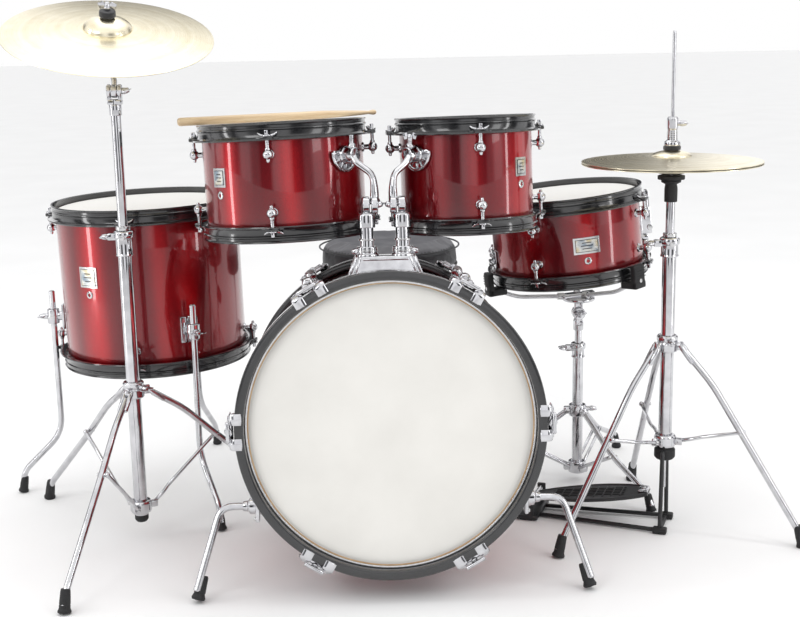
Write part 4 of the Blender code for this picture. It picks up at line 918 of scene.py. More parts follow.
def tom_post(side, name):
    post = Shape()
    here = BASS_AT @ at(side * POST_X, 0, -MOUNT_BACK) @ spun(-math.pi / 2, "X")
    top = BASS_RADIUS + KNUCKLE_UP
    low = BASS_RADIUS - 0.095
    post.lathe(disc_outline(POST_RADIUS, low, top - 0.016), CHROME, here, 40, False,
               0.001)
    post.lathe([(0.0128, top - 0.0330), (0.0128, top - 0.0150), (0.0112, top - 0.0120),
                (0.0098, top - 0.0120), (0.0098, top - 0.0330)], CHROME, here, 40, True, 0.0009)
    post.lathe([(0.0122, top - 0.0520), (0.0122, top - 0.0490), (0.0098, top - 0.0490),
                (0.0098, top - 0.0520)], BRIGHT, here, 40, True, 0.0006)
    knuckle = BASS_AT @ Vector((side * POST_X, top, -MOUNT_BACK))
    post.block((0.0105, 0.0200, 0.0150), CHROME, BASS_AT @ at(side * POST_X, top - 0.009, -MOUNT_BACK),
               0.0022)
    wheel = shifted(knuckle) @ spun(math.pi / 2, "Y")
    post.lathe(wheel_outline(0.0125, 0.0108, 0.0055, 0.0040),
               CHROME, wheel, 40, False, 0.0006)
    post.piece("tom_post_%s_plated" % name, "post_" + name, ["tom_post_" + name])


def tom_arm(side, name, spec):
    """The cast arm from knuckle to shell: ratchet cheek, C-shaped neck, fan bracket and rod stub."""
    arm = Shape()
    knuckle = BASS_AT @ Vector((side * POST_X, BASS_RADIUS + KNUCKLE_UP, -MOUNT_BACK))
    place = drum_at(spec)
    radius = spec["radius"]
    azimuth = math.radians(-41 if side < 0 else -139)
    turn = place @ spun(azimuth)
    up = 0.034
    cheek = knuckle + Vector((side * -0.0125, 0, 0))
    wheel = shifted(cheek) @ spun(math.pi / 2, "Y")
    arm.lathe(wheel_outline(0.0128, 0.0112, 0.0050, 0.0034),
              CHROME, wheel, 40, False, 0.0006)
    outer = cheek + Vector((side * -0.0052, 0, 0))
    arm.rod(cheek, outer, 0.0072, CHROME, 0.0062)
    arm.wing_screw(between(outer, outer + Vector((-side, -0.15, 0.2))), CHROME, 0.024, 0.009)
    socket = turn @ Vector((radius + 0.016, 0, up))
    neck = smooth_path([cheek + Vector((0, 0, 0.006)), cheek + Vector((side * -0.0005, 0.001, 0.026)),
                        knuckle + Vector((side * -0.0105, 0.006, 0.044)),
                        socket.lerp(knuckle, 0.35) + Vector((0, 0, 0.014)), socket], 0.014, 6)
    count = len(neck)
    arm.sweep(neck, 0.0062, CHROME, 18, flat=0.82,
              radii=[0.0078 - 0.0022 * math.sin(math.pi * k / (count - 1)) for k in range(count)])
    arm.rod(turn @ Vector((radius + 0.0015, 0, up)), turn @ Vector((radius + 0.0085, 0, up)), 0.0150, CHROME,
            0.0130, sides=36)
    arm.rod(turn @ Vector((radius + 0.006, 0, up)), turn @ Vector((radius + 0.0245, 0, up)), 0.0118, CHROME,
            0.0108, sides=36, edge=0.0016)
    fan = turn @ at(radius + 0.0030, 0, up + 0.004)
    arm.block((0.0040, 0.0500, 0.0062), CHROME, fan, 0.0018)
    rim = []
    for k in range(15):
        angle = math.pi + math.pi * k / 14
        y, z = 0.0245 * math.cos(angle), 0.0270 * math.sin(angle)
        rim.append(fan @ Vector((0.0010 + radius * (math.cos(y / radius) - 1), y, z)))
    arm.sweep(rim, 0.0025, CHROME, 10)
    for k in range(1, 6):
        angle = math.pi + math.pi * k / 6
        y, z = 0.0240 * math.cos(angle), 0.0265 * math.sin(angle)
        arm.sweep([fan @ Vector((0.0030, 0, -0.003)),
                   fan @ Vector((0.0012 + radius * (math.cos(y / radius) - 1), y, z))], 0.0018, CHROME, 8,
                  radii=[0.0026, 0.0017])
    web = [(0.0, 0.0, -0.002)]
    for k in range(13):
        angle = math.pi + math.pi * k / 12
        web.append((0.0, 0.0240 * math.cos(angle), 0.0265 * math.sin(angle)))
    thick = [(x + 0.0014, y, z) for x, y, z in web]
    n = len(web)
    faces = [tuple(range(n)), tuple(range(2 * n - 1, n - 1, -1))]
    faces += [(k, (k + 1) % n, n + (k + 1) % n, n + k) for k in range(n)]
    arm.add(web + thick, faces, CHROME, fan @ at(-0.0006, 0, 0))
    stub = socket + Vector((0, 0, 0.0075))
    arm.rod(stub, socket + Vector((0, 0, 0.0290)), 0.0040, CHROME)
    arm.lathe([(0, 0), (0.0060, 0), (0.0066, 0.003), (0.0050, 0.0065), (0, 0.0065)], CHROME,
              shifted(socket + Vector((0, 0, 0.0105))), 24, False, 0.0008)
    if side > 0:
        arm.wing_screw(shifted(socket + Vector((0, 0, 0.0240))), CHROME, 0.022, 0.009)
    arm.piece("tom_arm_%s_cast" % name, "tom_" + name, ["tom_arm_" + name])


# ---------------------------------------------------------------- floor tom, snare and basket
FLOOR_LEG_AZIMUTHS = (181, 299, 74)
FLOOR_LEG_OUT = FLOOR_TOM["radius"] + 0.0215
STRAINER_AZIMUTH = 4
BASKET_AZIMUTHS = (-50, -168, 70)
SNARE_STAND = on_floor("snare_basket_tilt")
SNARE_TOP = 0.250
TILTER_UP = pivot_at("snare_basket_tilt").z


def polar(centre, radius, angle, height):
    return Vector((centre[0] + radius * math.cos(angle), centre[1] + radius * math.sin(angle), height))


def floor_brackets(shape, place):
    """Leg brackets on the floor tom, each with a collar round its leg and a wing bolt."""
    back = place.inverted()
    centre = FLOOR_TOM["centre"]
    for azimuth in FLOOR_LEG_AZIMUTHS:
        angle = math.radians(azimuth)
        face = back @ shifted(polar(centre, FLOOR_TOM["radius"] + 0.0022, angle, 0.318)) @ spun(angle)
        shape.block((0.0050, 0.030, 0.044), CHROME, face, 0.0022)
        for up in (-1, 1):
            shape.rod(face @ Vector((0.002, 0, up * 0.0165)), face @ Vector((0.0048, 0, up * 0.0165)), 0.0032,
                      BRIGHT)
        axis = back @ shifted(polar(centre, FLOOR_LEG_OUT, angle, 0.318)) @ spun(angle)
        shape.ring(0.0102, 0.0056, -0.0125, 0.0125, CHROME, axis, 36, 0.0016)
        shape.ring(0.0112, 0.0098, -0.0030, 0.0030, BRIGHT, axis, 36, 0.0006)
        shape.rod(face @ Vector((0.001, 0, 0)), axis @ Vector((-0.0085, 0, 0)), 0.0080, CHROME, sides=24)
        bolt = axis @ Vector((0.0165, 0, 0))
        shape.rod(axis @ Vector((0.009, 0, 0)), bolt, 0.0052, CHROME)
        shape.wing_screw(axis @ at(0.0165, 0, 0) @ SIDEWAYS, CHROME, 0.026, 0.010)


def tapered_foot(shape, foot, along, width=0.0095, length=0.028):
    """A black rubber foot with a flared pad and ribs, on the end of a leg that runs up along a direction."""
    along = Vector(along).normalized()
    tip = between(foot, Vector(foot) + along)
    shape.lathe([(0, 0), (width * 0.96, 0.0006), (width, 0.0030), (width * 0.86, 0.0060),
                 (width * 0.80, 0.0085), (width * 0.84, 0.0100), (width * 0.78, 0.0118),
                 (width * 0.82, 0.0134), (width * 0.72, length - 0.003), (width * 0.64, length), (0, length)],
                RUBBER, tip, 28)


def floor_leg(number, azimuth):
    leg = Shape()
    angle = math.radians(azimuth)
    centre = FLOOR_TOM["centre"]
    foot = polar(centre, 0.250, angle, 0.0)
    path = smooth_path([polar(centre, FLOOR_LEG_OUT, angle, 0.3605), polar(centre, FLOOR_LEG_OUT, angle,
                                                                           0.108),
                        polar(centre, 0.244, angle, 0.040), polar(centre, 0.250, angle, 0.014)], 0.030, 7)
    leg.sweep(path, 0.0051, CHROME, 20)
    for height in (0.200, 0.206, 0.212):
        leg.ring(0.00535, 0.0045, height, height + 0.0016, BRIGHT, shifted(polar(centre, FLOOR_LEG_OUT,
                 angle, 0)), 24, 0.0003)
    tapered_foot(leg, foot + Vector((0, 0, 0.0015)), (-0.18 * math.cos(angle), -0.18 * math.sin(angle), 1),
                 0.0088)
    leg.piece("floor_tom_leg_%d_bent" % number, "floor_leg_%d" % number,
              ["floor_tom_leg_%d" % number])


def snare_fittings(shape, place):
    """The strainer's housing and guide on the right, and the butt plate on the far side."""
    radius = SNARE["radius"]
    here = spun(math.radians(STRAINER_AZIMUTH)) @ at(radius, 0, 0)
    shape.block((0.0030, 0.0330, 0.0560), CHROME, here @ at(0.0012, 0, 0.002), 0.0014)
    for side in (-1, 1):
        shape.block((0.0190, 0.0050, 0.0460), CHROME, here @ at(0.0110, side * 0.0098, 0.004), 0.0020)
        shape.rod(here @ Vector((0.0165, side * 0.0120, -0.008)), here @ Vector((0.0165, side * 0.0142,
                                                                                 -0.008)), 0.0048, BRIGHT)
        for up in (-0.022, 0.026):
            shape.rod(here @ Vector((0.002, side * 0.0132, up)), here @ Vector((0.0044, side * 0.0132, up)),
                      0.0024, BRIGHT)
    shape.block((0.0140, 0.0165, 0.0080), CHROME, here @ at(0.0085, 0, -0.0255), 0.0022)
    shape.lathe([(0.0, 0), (0.0062, 0), (0.0070, 0.0020), (0.0070, 0.0080), (0.0060, 0.0100), (0, 0.0100)],
                BRIGHT, here @ at(0.0090, 0, -0.0400), 28, False, 0.0008)
    back = spun(math.radians(STRAINER_AZIMUTH + 180)) @ at(radius, 0, 0)
    shape.block((0.0040, 0.0340, 0.0300), CHROME, back @ at(0.0016, 0, -0.030), 0.0016)
    shape.block((0.0090, 0.0260, 0.0070), CHROME, back @ at(0.0060, 0, -0.034), 0.0022)
    for side in (-1, 1):
        shape.rod(back @ Vector((0.004, side * 0.008, -0.024)), back @ Vector((0.0078, side * 0.008, -0.024)),
                  0.0030, BRIGHT)


def snare_wires(place):
    """Coiled wires under the lower head, between two end plates."""
    wires = Shape()
    seed = Shape()
    seed.ball((0, 0, 0), 0.001, WIRE, sides=6)
    low = -SNARE["depth"] / 2 - 0.0034
    length = 0.176
    count = 14
    step = 0.0030
    mesh = grown(seed, COILS, WIRE, {"Wires": count, "Step": (0, step, 0), "Turns": 62.0, "Length": length,
                                     "Coil radius": 0.00085, "Wire radius": 0.00022})
    turn = spun(math.radians(STRAINER_AZIMUTH))
    wires.absorb(mesh, WIRE, Matrix.Identity(4))
    bm = wires.bm
    for vert in bm.verts:
        x, y, z = vert.co
        vert.co = turn @ Vector((z - length / 2, y - step * (count - 1) / 2, low + x))
    for side in (-1, 1):
        wires.block((0.0090, step * count + 0.003, 0.0016), CHROME, turn @ at(side * (length / 2 + 0.002), 0,
                                                                              low), 0.0006)
    wires.piece("snare_wire_set", "snare", (), place)


def snare_lever():
    place = drum_at(SNARE)
    here = spun(math.radians(STRAINER_AZIMUTH)) @ at(SNARE["radius"], 0, 0)
    lever = Shape()
    lever.sweep([here @ Vector((0.0168, 0, -0.0130)), here @ Vector((0.0170, 0, 0.018)),
                 here @ Vector((0.0186, 0, 0.045))], 0.0042, CHROME, 16, flat=1.25,
                radii=[0.0046, 0.0040, 0.0032])
    lever.block((0.0046, 0.0195, 0.0150), CHROME, here @ at(0.0184, 0, 0.0480), 0.0021)
    lever.rod(here @ Vector((0.0168, -0.0060, -0.008)), here @ Vector((0.0168, 0.0060, -0.008)), 0.0050,
              BRIGHT)
    lever.piece("snare_strainer_lever_cast", "strainer", ["snare_strainer_lever"], place)


def snare_basket():
    place = drum_at(SNARE)
    radius = SNARE["radius"]
    bottom = -SNARE["depth"] / 2 - HOOP_RISE
    jaw_low = bottom - 0.014
    tilter = SNARE_STAND + Vector((0, 0, TILTER_UP))
    plate = tilter + Vector((0, 0, 0.026))
    basket = Shape()
    basket.lathe([(0, -0.0040), (0.0262, -0.0040), (0.0285, -0.0022), (0.0285, 0.0012), (0.0262, 0.0040),
                  (0.010, 0.0046), (0, 0.0046)], CHROME, shifted(plate), 48, False, 0.0008)
    basket.block((0.058, 0.030, 0.0060), CHROME, shifted(plate + Vector((0, 0, 0.0062)))
                 @ spun(math.radians(-5.5), "Y"), 0.0022)
    basket.block((0.0150, 0.0085, 0.0240), CHROME, shifted(tilter + Vector((0, 0, 0.0125))), 0.0018)
    wheel = shifted(tilter) @ spun(math.pi / 2, "X")
    basket.lathe(wheel_outline(0.0110, 0.0096, 0.0045, 0.0030),
                 CHROME, wheel, 36, False, 0.0006)
    for azimuth in BASKET_AZIMUTHS:
        turn = place @ spun(math.radians(azimuth))
        root = plate.lerp(turn @ Vector((0.03, 0, bottom - 0.030)), 0.5)
        knee = turn @ Vector((radius - 0.030, 0, bottom - 0.024))
        end = turn @ Vector((radius + 0.004, 0, jaw_low + 0.006))
        basket.sweep(smooth_path([root, knee, end], 0.012, 6), 0.0036, CHROME, 14, flat=1.5)
        basket.rod(root.lerp(knee, 0.06), root.lerp(knee, 0.20), 0.0060, BRIGHT, sides=18)
    basket.piece("snare_basket_arms", "snare", ["snare_basket"])
    jaws = Shape()
    out = radius + FLANGE
    for azimuth in BASKET_AZIMUTHS:
        turn = place @ spun(math.radians(azimuth))
        jaws.block((0.0330, 0.0270, 0.0125), RUBBER, turn @ at(radius + 0.0090, 0, jaw_low + 0.0064), 0.0028)
        jaws.block((0.0098, 0.0270, 0.0400), RUBBER, turn @ at(out + 0.0060, 0, jaw_low + 0.0200), 0.0028)
        jaws.block((0.0062, 0.0270, 0.0050), RUBBER, turn @ at(out + 0.0036, 0, jaw_low + 0.0372), 0.0022)
        jaws.rod(turn @ Vector((out + 0.0095, 0, jaw_low + 0.0135)), turn @ Vector((out + 0.0125, 0,
                                                                                    jaw_low + 0.0135)),
                 0.0034, BRIGHT)
        for k in range(4):
            jaws.block((0.0012, 0.0274, 0.0018), RUBBER, turn @ at(out + 0.0112, 0,
                                                                   jaw_low + 0.020 + 0.0045 * k), 0.0005)
    jaws.piece("snare_basket_jaws", "snare")


# ---------------------------------------------------------------- stands
def stand_tube(shape, centre, low, high, radius, look=CHROME, inner=None):
    place = at(centre[0], centre[1], 0)
    if inner:
        shape.ring(radius, inner, low, high, look, place, 40, 0.0007)
    else:
        shape.lathe(disc_outline(radius, low, high), look, place, 40, False, 0.001)


def clamp_ring(shape, centre, top, radius, inner, length, side, turned=0.0):
    """A split sleeve with two rolled rims, a pinch boss and a wing bolt with its own nut."""
    place = at(centre[0], centre[1], 0)
    low = top - length
    shape.lathe([(inner, low), (radius - 0.0016, low), (radius - 0.0010, low + 0.0014),
                 (radius - 0.0016, low + 0.0030), (radius - 0.0020, low + 0.004),
                 (radius - 0.0020, top - 0.0120), (radius, top - 0.0100), (radius + 0.0004, top - 0.0080),
                 (radius + 0.0004, top - 0.0030), (radius - 0.0006, top - 0.0008), (radius - 0.0020, top),
                 (inner, top)], CHROME, place, 44, True)
    height = top - 0.0090
    turn = place @ spun(turned)
    boss = turn @ at(side * (radius + 0.0030), 0, height)
    shape.block((0.0150, 0.0120, 0.0110), CHROME, boss, 0.0030)
    end = side * (radius + 0.0125)
    shape.rod(turn @ Vector((side * radius, 0, height)), turn @ Vector((end, 0, height)), 0.0042, CHROME)
    shape.wing_screw(turn @ at(end, 0, height) @ spun(side * math.pi / 2, "Y") @ spun(math.pi / 2), CHROME,
                     0.024, 0.0095)
    shape.rod(turn @ Vector((0, -radius - 0.0022, height)), turn @ Vector((0, -radius + 0.001, height)),
              0.0040, BRIGHT)


def leg_pieces(name, body, centre, angle, number, sizes, nodes):
    """A folding leg: flattened fork at the collar, bent tube, pivot rivet and rubber foot."""
    tube = sizes["tube_radius"]
    top = polar(centre, tube + 0.0125, angle, sizes["collar"])
    joint = polar(centre, sizes["joint"][0], angle, sizes["joint"][1])
    ankle = polar(centre, sizes["foot_radius"] - 0.012, angle, 0.032)
    foot = polar(centre, sizes["foot_radius"], angle, 0.0)
    across = spun(angle).to_3x3() @ Vector((0, 1, 0))
    down = (joint - top).normalized()
    knee = top.lerp(joint, 0.46) + (across.cross(down)).normalized() * -0.006
    leg = Shape()
    path = smooth_path([top + down * 0.010, knee, joint, ankle, foot + Vector((0, 0, 0.012))], 0.020, 6)
    leg.sweep(path, 0.0052, CHROME, 18, flat=1.0)
    for side in (-1, 1):
        start = top + across * side * 0.0048
        leg.sweep([start - down * 0.0060, start + down * 0.006, start + down * 0.030], 0.0013, CHROME, 10,
                  flat=1.0, radii=[0.0030, 0.0042, 0.0036])
    leg.rod(top - across * 0.0078, top + across * 0.0078, 0.0030, BRIGHT)
    leg.rod(joint - across * 0.0070, joint + across * 0.0125, 0.0028, BRIGHT)
    away = (ankle - foot) + Vector((0, 0, 0.012))
    tapered_foot(leg, foot + Vector((0, 0, 0.0010)), away, 0.0098, 0.034)
    leg.piece("%s_leg_%d_bent" % (name, number), body, nodes)


def brace_piece(name, body, centre, angle, number, sizes, nodes):
    tube = sizes["tube_radius"]
    hub = polar(centre, tube + 0.0125, angle, sizes["hub"])
    joint = polar(centre, sizes["joint"][0], angle, sizes["joint"][1])
    across = spun(angle).to_3x3() @ Vector((0, 1, 0))
    toward = (joint - hub).normalized()
    clear = across * 0.0090
    brace = Shape()
    path = smooth_path([hub + across * 0.0050 - toward * 0.003, hub + across * 0.0050 + toward * 0.022,
                        hub + clear + toward * 0.034, joint + clear - toward * 0.002], 0.006, 4)
    brace.sweep(path, 0.0016, CHROME, 12, flat=1.0, radii=[0.0030] * len(path))
    brace.ball(joint + clear, 0.0044, CHROME, sides=14)
    brace.rod(hub + across * 0.0030, hub + across * 0.0078, 0.0036, BRIGHT)
    brace.piece("%s_brace_%d_strip" % (name, number), body, nodes)


def hub_ring(shape, centre, azimuths, sizes, look=CHROME):
    """The fixed hub at the foot of the tube, with a forked lug for each brace."""
    tube = sizes["tube_radius"]
    place = at(centre[0], centre[1], sizes["hub"])
    shape.lathe([(tube - 0.0005, -0.0100), (tube + 0.0050, -0.0100), (tube + 0.0066, -0.0060),
                 (tube + 0.0066, 0.0060), (tube + 0.0046, 0.0095), (tube - 0.0005, 0.0100)], look, place, 40,
                True, 0.0010)
    for azimuth in azimuths:
        angle = math.radians(azimuth)
        spot = shifted(polar(centre, tube + 0.0095, angle, sizes["hub"])) @ spun(angle)
        shape.block((0.0150, 0.0042, 0.0125), look, spot, 0.0018)


def collar_piece(name, body, centre, azimuths, sizes, nodes):
    tube = sizes["tube_radius"]
    low = sizes["collar"] - 0.010
    collar = Shape()
    place = at(centre[0], centre[1], 0)
    collar.lathe([(tube + 0.0004, low), (tube + 0.0050, low), (tube + 0.0062, low + 0.0020),
                  (tube + 0.0062, low + 0.0130), (tube + 0.0044, low + 0.0160), (tube + 0.0060, low + 0.0185),
                  (tube + 0.0060, low + 0.0235), (tube + 0.0040, low + 0.0260),
                  (tube + 0.0004, low + 0.0260)], CHROME, place, 44, True, 0.0005)
    for azimuth in azimuths:
        angle = math.radians(azimuth)
        spot = shifted(polar(centre, tube + 0.0085, angle, sizes["collar"])) @ spun(angle)
        collar.block((0.0140, 0.0052, 0.0145), CHROME, spot, 0.0018)
    angle = math.radians(azimuths[0] + 60)
    turn = place @ spun(angle) @ at(0, 0, low + 0.018)
    collar.rod(turn @ Vector((tube + 0.003, 0, 0)), turn @ Vector((tube + 0.018, 0, 0)), 0.0044, CHROME)
    collar.wing_screw(turn @ at(tube + 0.018, 0, 0) @ SIDEWAYS, CHROME, 0.026, 0.010)
    collar.piece(name + "_collar_cast", body, nodes)


def folding_stand(name, body, centre, azimuths, sizes):
    collar_piece(name + "_stand", body + "_collar", centre, azimuths, sizes, [name + "_stand_collar"])
    for number, azimuth in enumerate(azimuths, 1):
        angle = math.radians(azimuth)
        leg_pieces(name + "_stand", "%s_leg_%d" % (body, number), centre, angle, number, sizes,
                   ["%s_stand_leg_%d" % (name, number)])
        brace_piece(name + "_stand", "%s_brace_%d" % (body, number), centre, angle, number, sizes,
                    ["%s_stand_brace_%d" % (name, number)])


def open_tripod(shape, centre, first, hub, collar, joint, foot_radius, tube):
    """A tripod that stays open: collar and hub castings, bent legs, flat braces and feet."""
    for k in range(3):
        angle = math.radians(first + 120 * k)
        across = spun(angle).to_3x3() @ Vector((0, 1, 0))
        top = polar(centre, tube + 0.008, angle, collar)
        middle = polar(centre, joint[0], angle, joint[1])
        ankle = polar(centre, foot_radius - 0.012, angle, 0.030)
        foot = polar(centre, foot_radius, angle, 0.0)
        shape.sweep(smooth_path([top, middle, ankle, foot + Vector((0, 0, 0.012))], 0.018, 6), 0.0048, CHROME,
                    18)
        for side in (-1, 1):
            shift = across * side * 0.0056
            shape.sweep([polar(centre, tube + 0.0025, angle, hub) + shift, middle + shift], 0.0012, CHROME, 8,
                        radii=[0.0030, 0.0030])
        shape.rod(middle - across * 0.0085, middle + across * 0.0085, 0.0026, BRIGHT)
        shape.rod(top - across * 0.0075, top + across * 0.0075, 0.0030, BRIGHT)
        tapered_foot(shape, foot + Vector((0, 0, 0.0010)), (ankle - foot), 0.0090, 0.030)
        for height, out in ((collar, tube + 0.0085), (hub, tube + 0.0080)):
            spot = shifted(polar(centre, out, angle, height)) @ spun(angle)
            shape.block((0.0140, 0.0130, 0.0125), CHROME, spot, 0.0030)
    for height in (collar, hub):
        shape.ring(tube + 0.0062, tube - 0.0004, height - 0.0100, height + 0.0100, CHROME,
                   at(centre[0], centre[1], 0), 40, 0.0018)
    turn = shifted((centre[0], centre[1], collar + 0.002)) @ spun(math.radians(first + 60))
    shape.rod(turn @ Vector((tube + 0.004, 0, 0)), turn @ Vector((tube + 0.016, 0, 0)), 0.0040, CHROME)
    shape.wing_screw(turn @ at(tube + 0.016, 0, 0) @ SIDEWAYS, CHROME, 0.022, 0.009)


def snare_stand():
    centre = SNARE_STAND
    base = Shape()
    tube = 0.0092
    bore = 0.0066
    stand_tube(base, centre, 0.012, SNARE_TOP, tube, inner=bore)
    open_tripod(base, centre, -62, 0.024, 0.128, (0.098, 0.068), 0.200, tube)
    clamp_ring(base, centre, SNARE_TOP, 0.0128, bore, 0.026, -1)
    base.piece("snare_stand_lower", "kit_frame", ["snare_stand_base"])
    upper = Shape()
    stand_tube(upper, centre, 0.110, TILTER_UP - 0.013, 0.0061)
    stand_tube(upper, centre, TILTER_UP - 0.030, TILTER_UP - 0.013, 0.0088)
    tilter = centre + Vector((0, 0, TILTER_UP))
    upper.block((0.0150, 0.0230, 0.0100), CHROME, shifted(tilter + Vector((0, 0, -0.0165))), 0.0026)
    for side in (-1, 1):
        wheel = shifted(tilter + Vector((0, side * 0.0080, 0))) @ spun(math.pi / 2, "X")
        upper.lathe(wheel_outline(0.0110, 0.0100, 0.0030, 0.0018),
                    CHROME, wheel, 36, False, 0.0005)
        upper.block((0.0120, 0.0056, 0.0200), CHROME,
                    shifted(tilter + Vector((0, side * 0.0080, -0.010))), 0.0018)
    upper.rod(tilter + Vector((0, -0.0105, 0)), tilter + Vector((0, -0.0160, 0)), 0.0052, CHROME)
    upper.wing_screw(between(tilter + Vector((0, -0.0160, 0)), tilter + Vector((0, -0.020, 0.003))), CHROME,
                     0.024, 0.009)
    upper.piece("snare_stand_upper", "snare_tube", ["snare_stand_tube"])


# ---------------------------------------------------------------- cymbals, crash stand, hi-hat
CRASH_AT = on_floor("crash_tilt")
CRASH_TOP = 0.4980
CRASH_TILTER = pivot_at("crash_tilt").z
CRASH_TRIPOD = dict(collar=pivot_at("crash_leg_1_fold").z, hub=0.0560, joint=(0.132, 0.1530),
                    foot_radius=0.279, tube_radius=0.0105)
CRASH_AZIMUTHS = (-104, 25, 134)
CRASH_PLACE = at(-0.400, 0.254, 0.788) @ spun(math.radians(6.5), "Y") @ spun(math.radians(20), "X")
HIHAT_AT = Vector((0.4395, 0.235, 0))
HIHAT_TOP = 0.4700
HIHAT_EDGE = 0.5845
HIHAT_TRIPOD = dict(collar=pivot_at("hihat_leg_1_fold").z, hub=0.1450, joint=(0.120, 0.1690),
                    foot_radius=0.219, tube_radius=0.0105)
HIHAT_AZIMUTHS = (-149, -29, 91)
PEDAL_TURN = math.radians(158)


def cymbal(shape, radius, rise, bell_radius, bell_height, hole=0.0060):
    """A bowed cymbal with turned ridges, a flared bell and a rolled edge; Z is up through the bell."""
    steps = 84
    upper = []
    for k in range(steps + 1):
        r = bell_radius + (radius - bell_radius) * (1 - k / steps)
        bow = 1 - ((r - bell_radius) / (radius - bell_radius)) ** 1.6
        ridge = 0.00007 * (k % 2) if 2 < k < steps - 3 else 0
        upper.append((r, rise * bow + ridge))
    for k in range(1, 15):
        turn = k / 14 * math.pi / 2
        r = max(hole, bell_radius * math.cos(turn) ** 0.9)
        upper.append((r, rise + bell_height * math.sin(turn) ** 1.15))
        if r == hole:
            break
    thick = 0.0011
    outline = list(reversed(upper)) + [(radius + 0.0002, -thick / 2)] + [(r, z - thick) for r, z in upper]
    shape.lathe(outline, BRASS, Matrix(), 144, True)


def crash_stand():
    base = Shape()
    stand_tube(base, CRASH_AT, 0.040, CRASH_TOP, 0.0105, inner=0.0078)
    hub_ring(base, CRASH_AT, CRASH_AZIMUTHS, CRASH_TRIPOD)
    base.lathe([(0, 0.030), (0.0080, 0.030), (0.0108, 0.034), (0.0108, 0.042), (0, 0.042)], RUBBER,
               shifted(CRASH_AT), 36, False, 0.0010)
    clamp_ring(base, CRASH_AT, CRASH_TOP, 0.0146, 0.0078, 0.038, -1)
    base.piece("crash_stand_lower", "kit_frame", ["crash_stand_base"])
    folding_stand("crash", "crash", CRASH_AT, CRASH_AZIMUTHS, CRASH_TRIPOD)
    upper = Shape()
    axis = CRASH_AT + Vector((0, 0, CRASH_TILTER))
    stand_tube(upper, CRASH_AT, 0.300, CRASH_TILTER - 0.012, 0.0074)
    stand_tube(upper, CRASH_AT, CRASH_TOP + 0.001, CRASH_TOP + 0.0075, 0.0112, BRIGHT)
    stand_tube(upper, CRASH_AT, CRASH_TILTER - 0.036, CRASH_TILTER - 0.020, 0.0092)
    upper.block((0.0220, 0.0145, 0.0085), CHROME, shifted(axis + Vector((0, 0, -0.0165))), 0.0024)
    for side in (-1, 1):
        wheel = shifted(axis + Vector((side * 0.0080, 0, 0))) @ spun(math.pi / 2, "Y")
        upper.lathe(wheel_outline(0.0100, 0.0090, 0.0030, 0.0018),
                    CHROME, wheel, 36, False, 0.0005)
        upper.block((0.0056, 0.0120, 0.0200), CHROME, shifted(axis + Vector((side * 0.0080, 0, -0.010))),
                    0.0016)
    upper.rod(axis + Vector((0.0105, 0, 0)), axis + Vector((0.0160, 0, 0)), 0.0050, CHROME)
    upper.wing_screw(between(axis + Vector((0.0160, 0, 0)), axis + Vector((0.020, 0, 0.001))), CHROME, 0.024,
                     0.009)
    upper.piece("crash_stand_upper", "crash_tube", ["crash_stand_tube"])
    tilter = Shape()
    tilter.lathe(wheel_outline(0.0100, 0.0090, 0.0045, 0.0032),
                 CHROME, shifted(axis) @ spun(math.pi / 2, "Y"), 36, False, 0.0005)
    root = CRASH_PLACE @ Vector((0, 0, -0.052))
    tilter.sweep(smooth_path([axis + Vector((0, 0.001, 0.004)), axis + Vector((0, 0.007, 0.017)), root,
                              CRASH_PLACE @ Vector((0, 0, -0.020))], 0.010, 5), 0.0042, CHROME, 16)
    tilter.rod(CRASH_PLACE @ Vector((0, 0, -0.030)), CRASH_PLACE @ Vector((0, 0, 0.0525)), 0.0030, CHROME)
    tilter.lathe([(0, -0.0195), (0.0090, -0.0195), (0.0132, -0.0165), (0.0132, -0.0145), (0, -0.0145)],
                 CHROME, CRASH_PLACE, 40, False, 0.0006)
    tilter.lathe([(0, -0.0145), (0.0126, -0.0145), (0.0112, 0.0040), (0, 0.0040)], FELT, CRASH_PLACE, 36,
                 False, 0.0018)
    tilter.lathe([(0, 0.0302), (0.0122, 0.0302), (0.0120, 0.0392), (0, 0.0392)], FELT, CRASH_PLACE, 36, False,
                 0.0018)
    tilter.wing_screw(CRASH_PLACE @ at(0, 0, 0.0432), CHROME, 0.030, 0.0095)
    tilter.piece("crash_tilter_cast", "crash_tilter", ["crash_tilter"])
    plate = Shape()
    cymbal(plate, 0.1552, 0.012, 0.036, 0.017)
    plate.piece("crash_cymbal_turned", "crash_cymbal", ["crash_cymbal"], CRASH_PLACE, 60)


def pedal_point(along_x, across, height):
    return (shifted(HIHAT_AT) @ spun(PEDAL_TURN)) @ Vector((along_x, across, height))


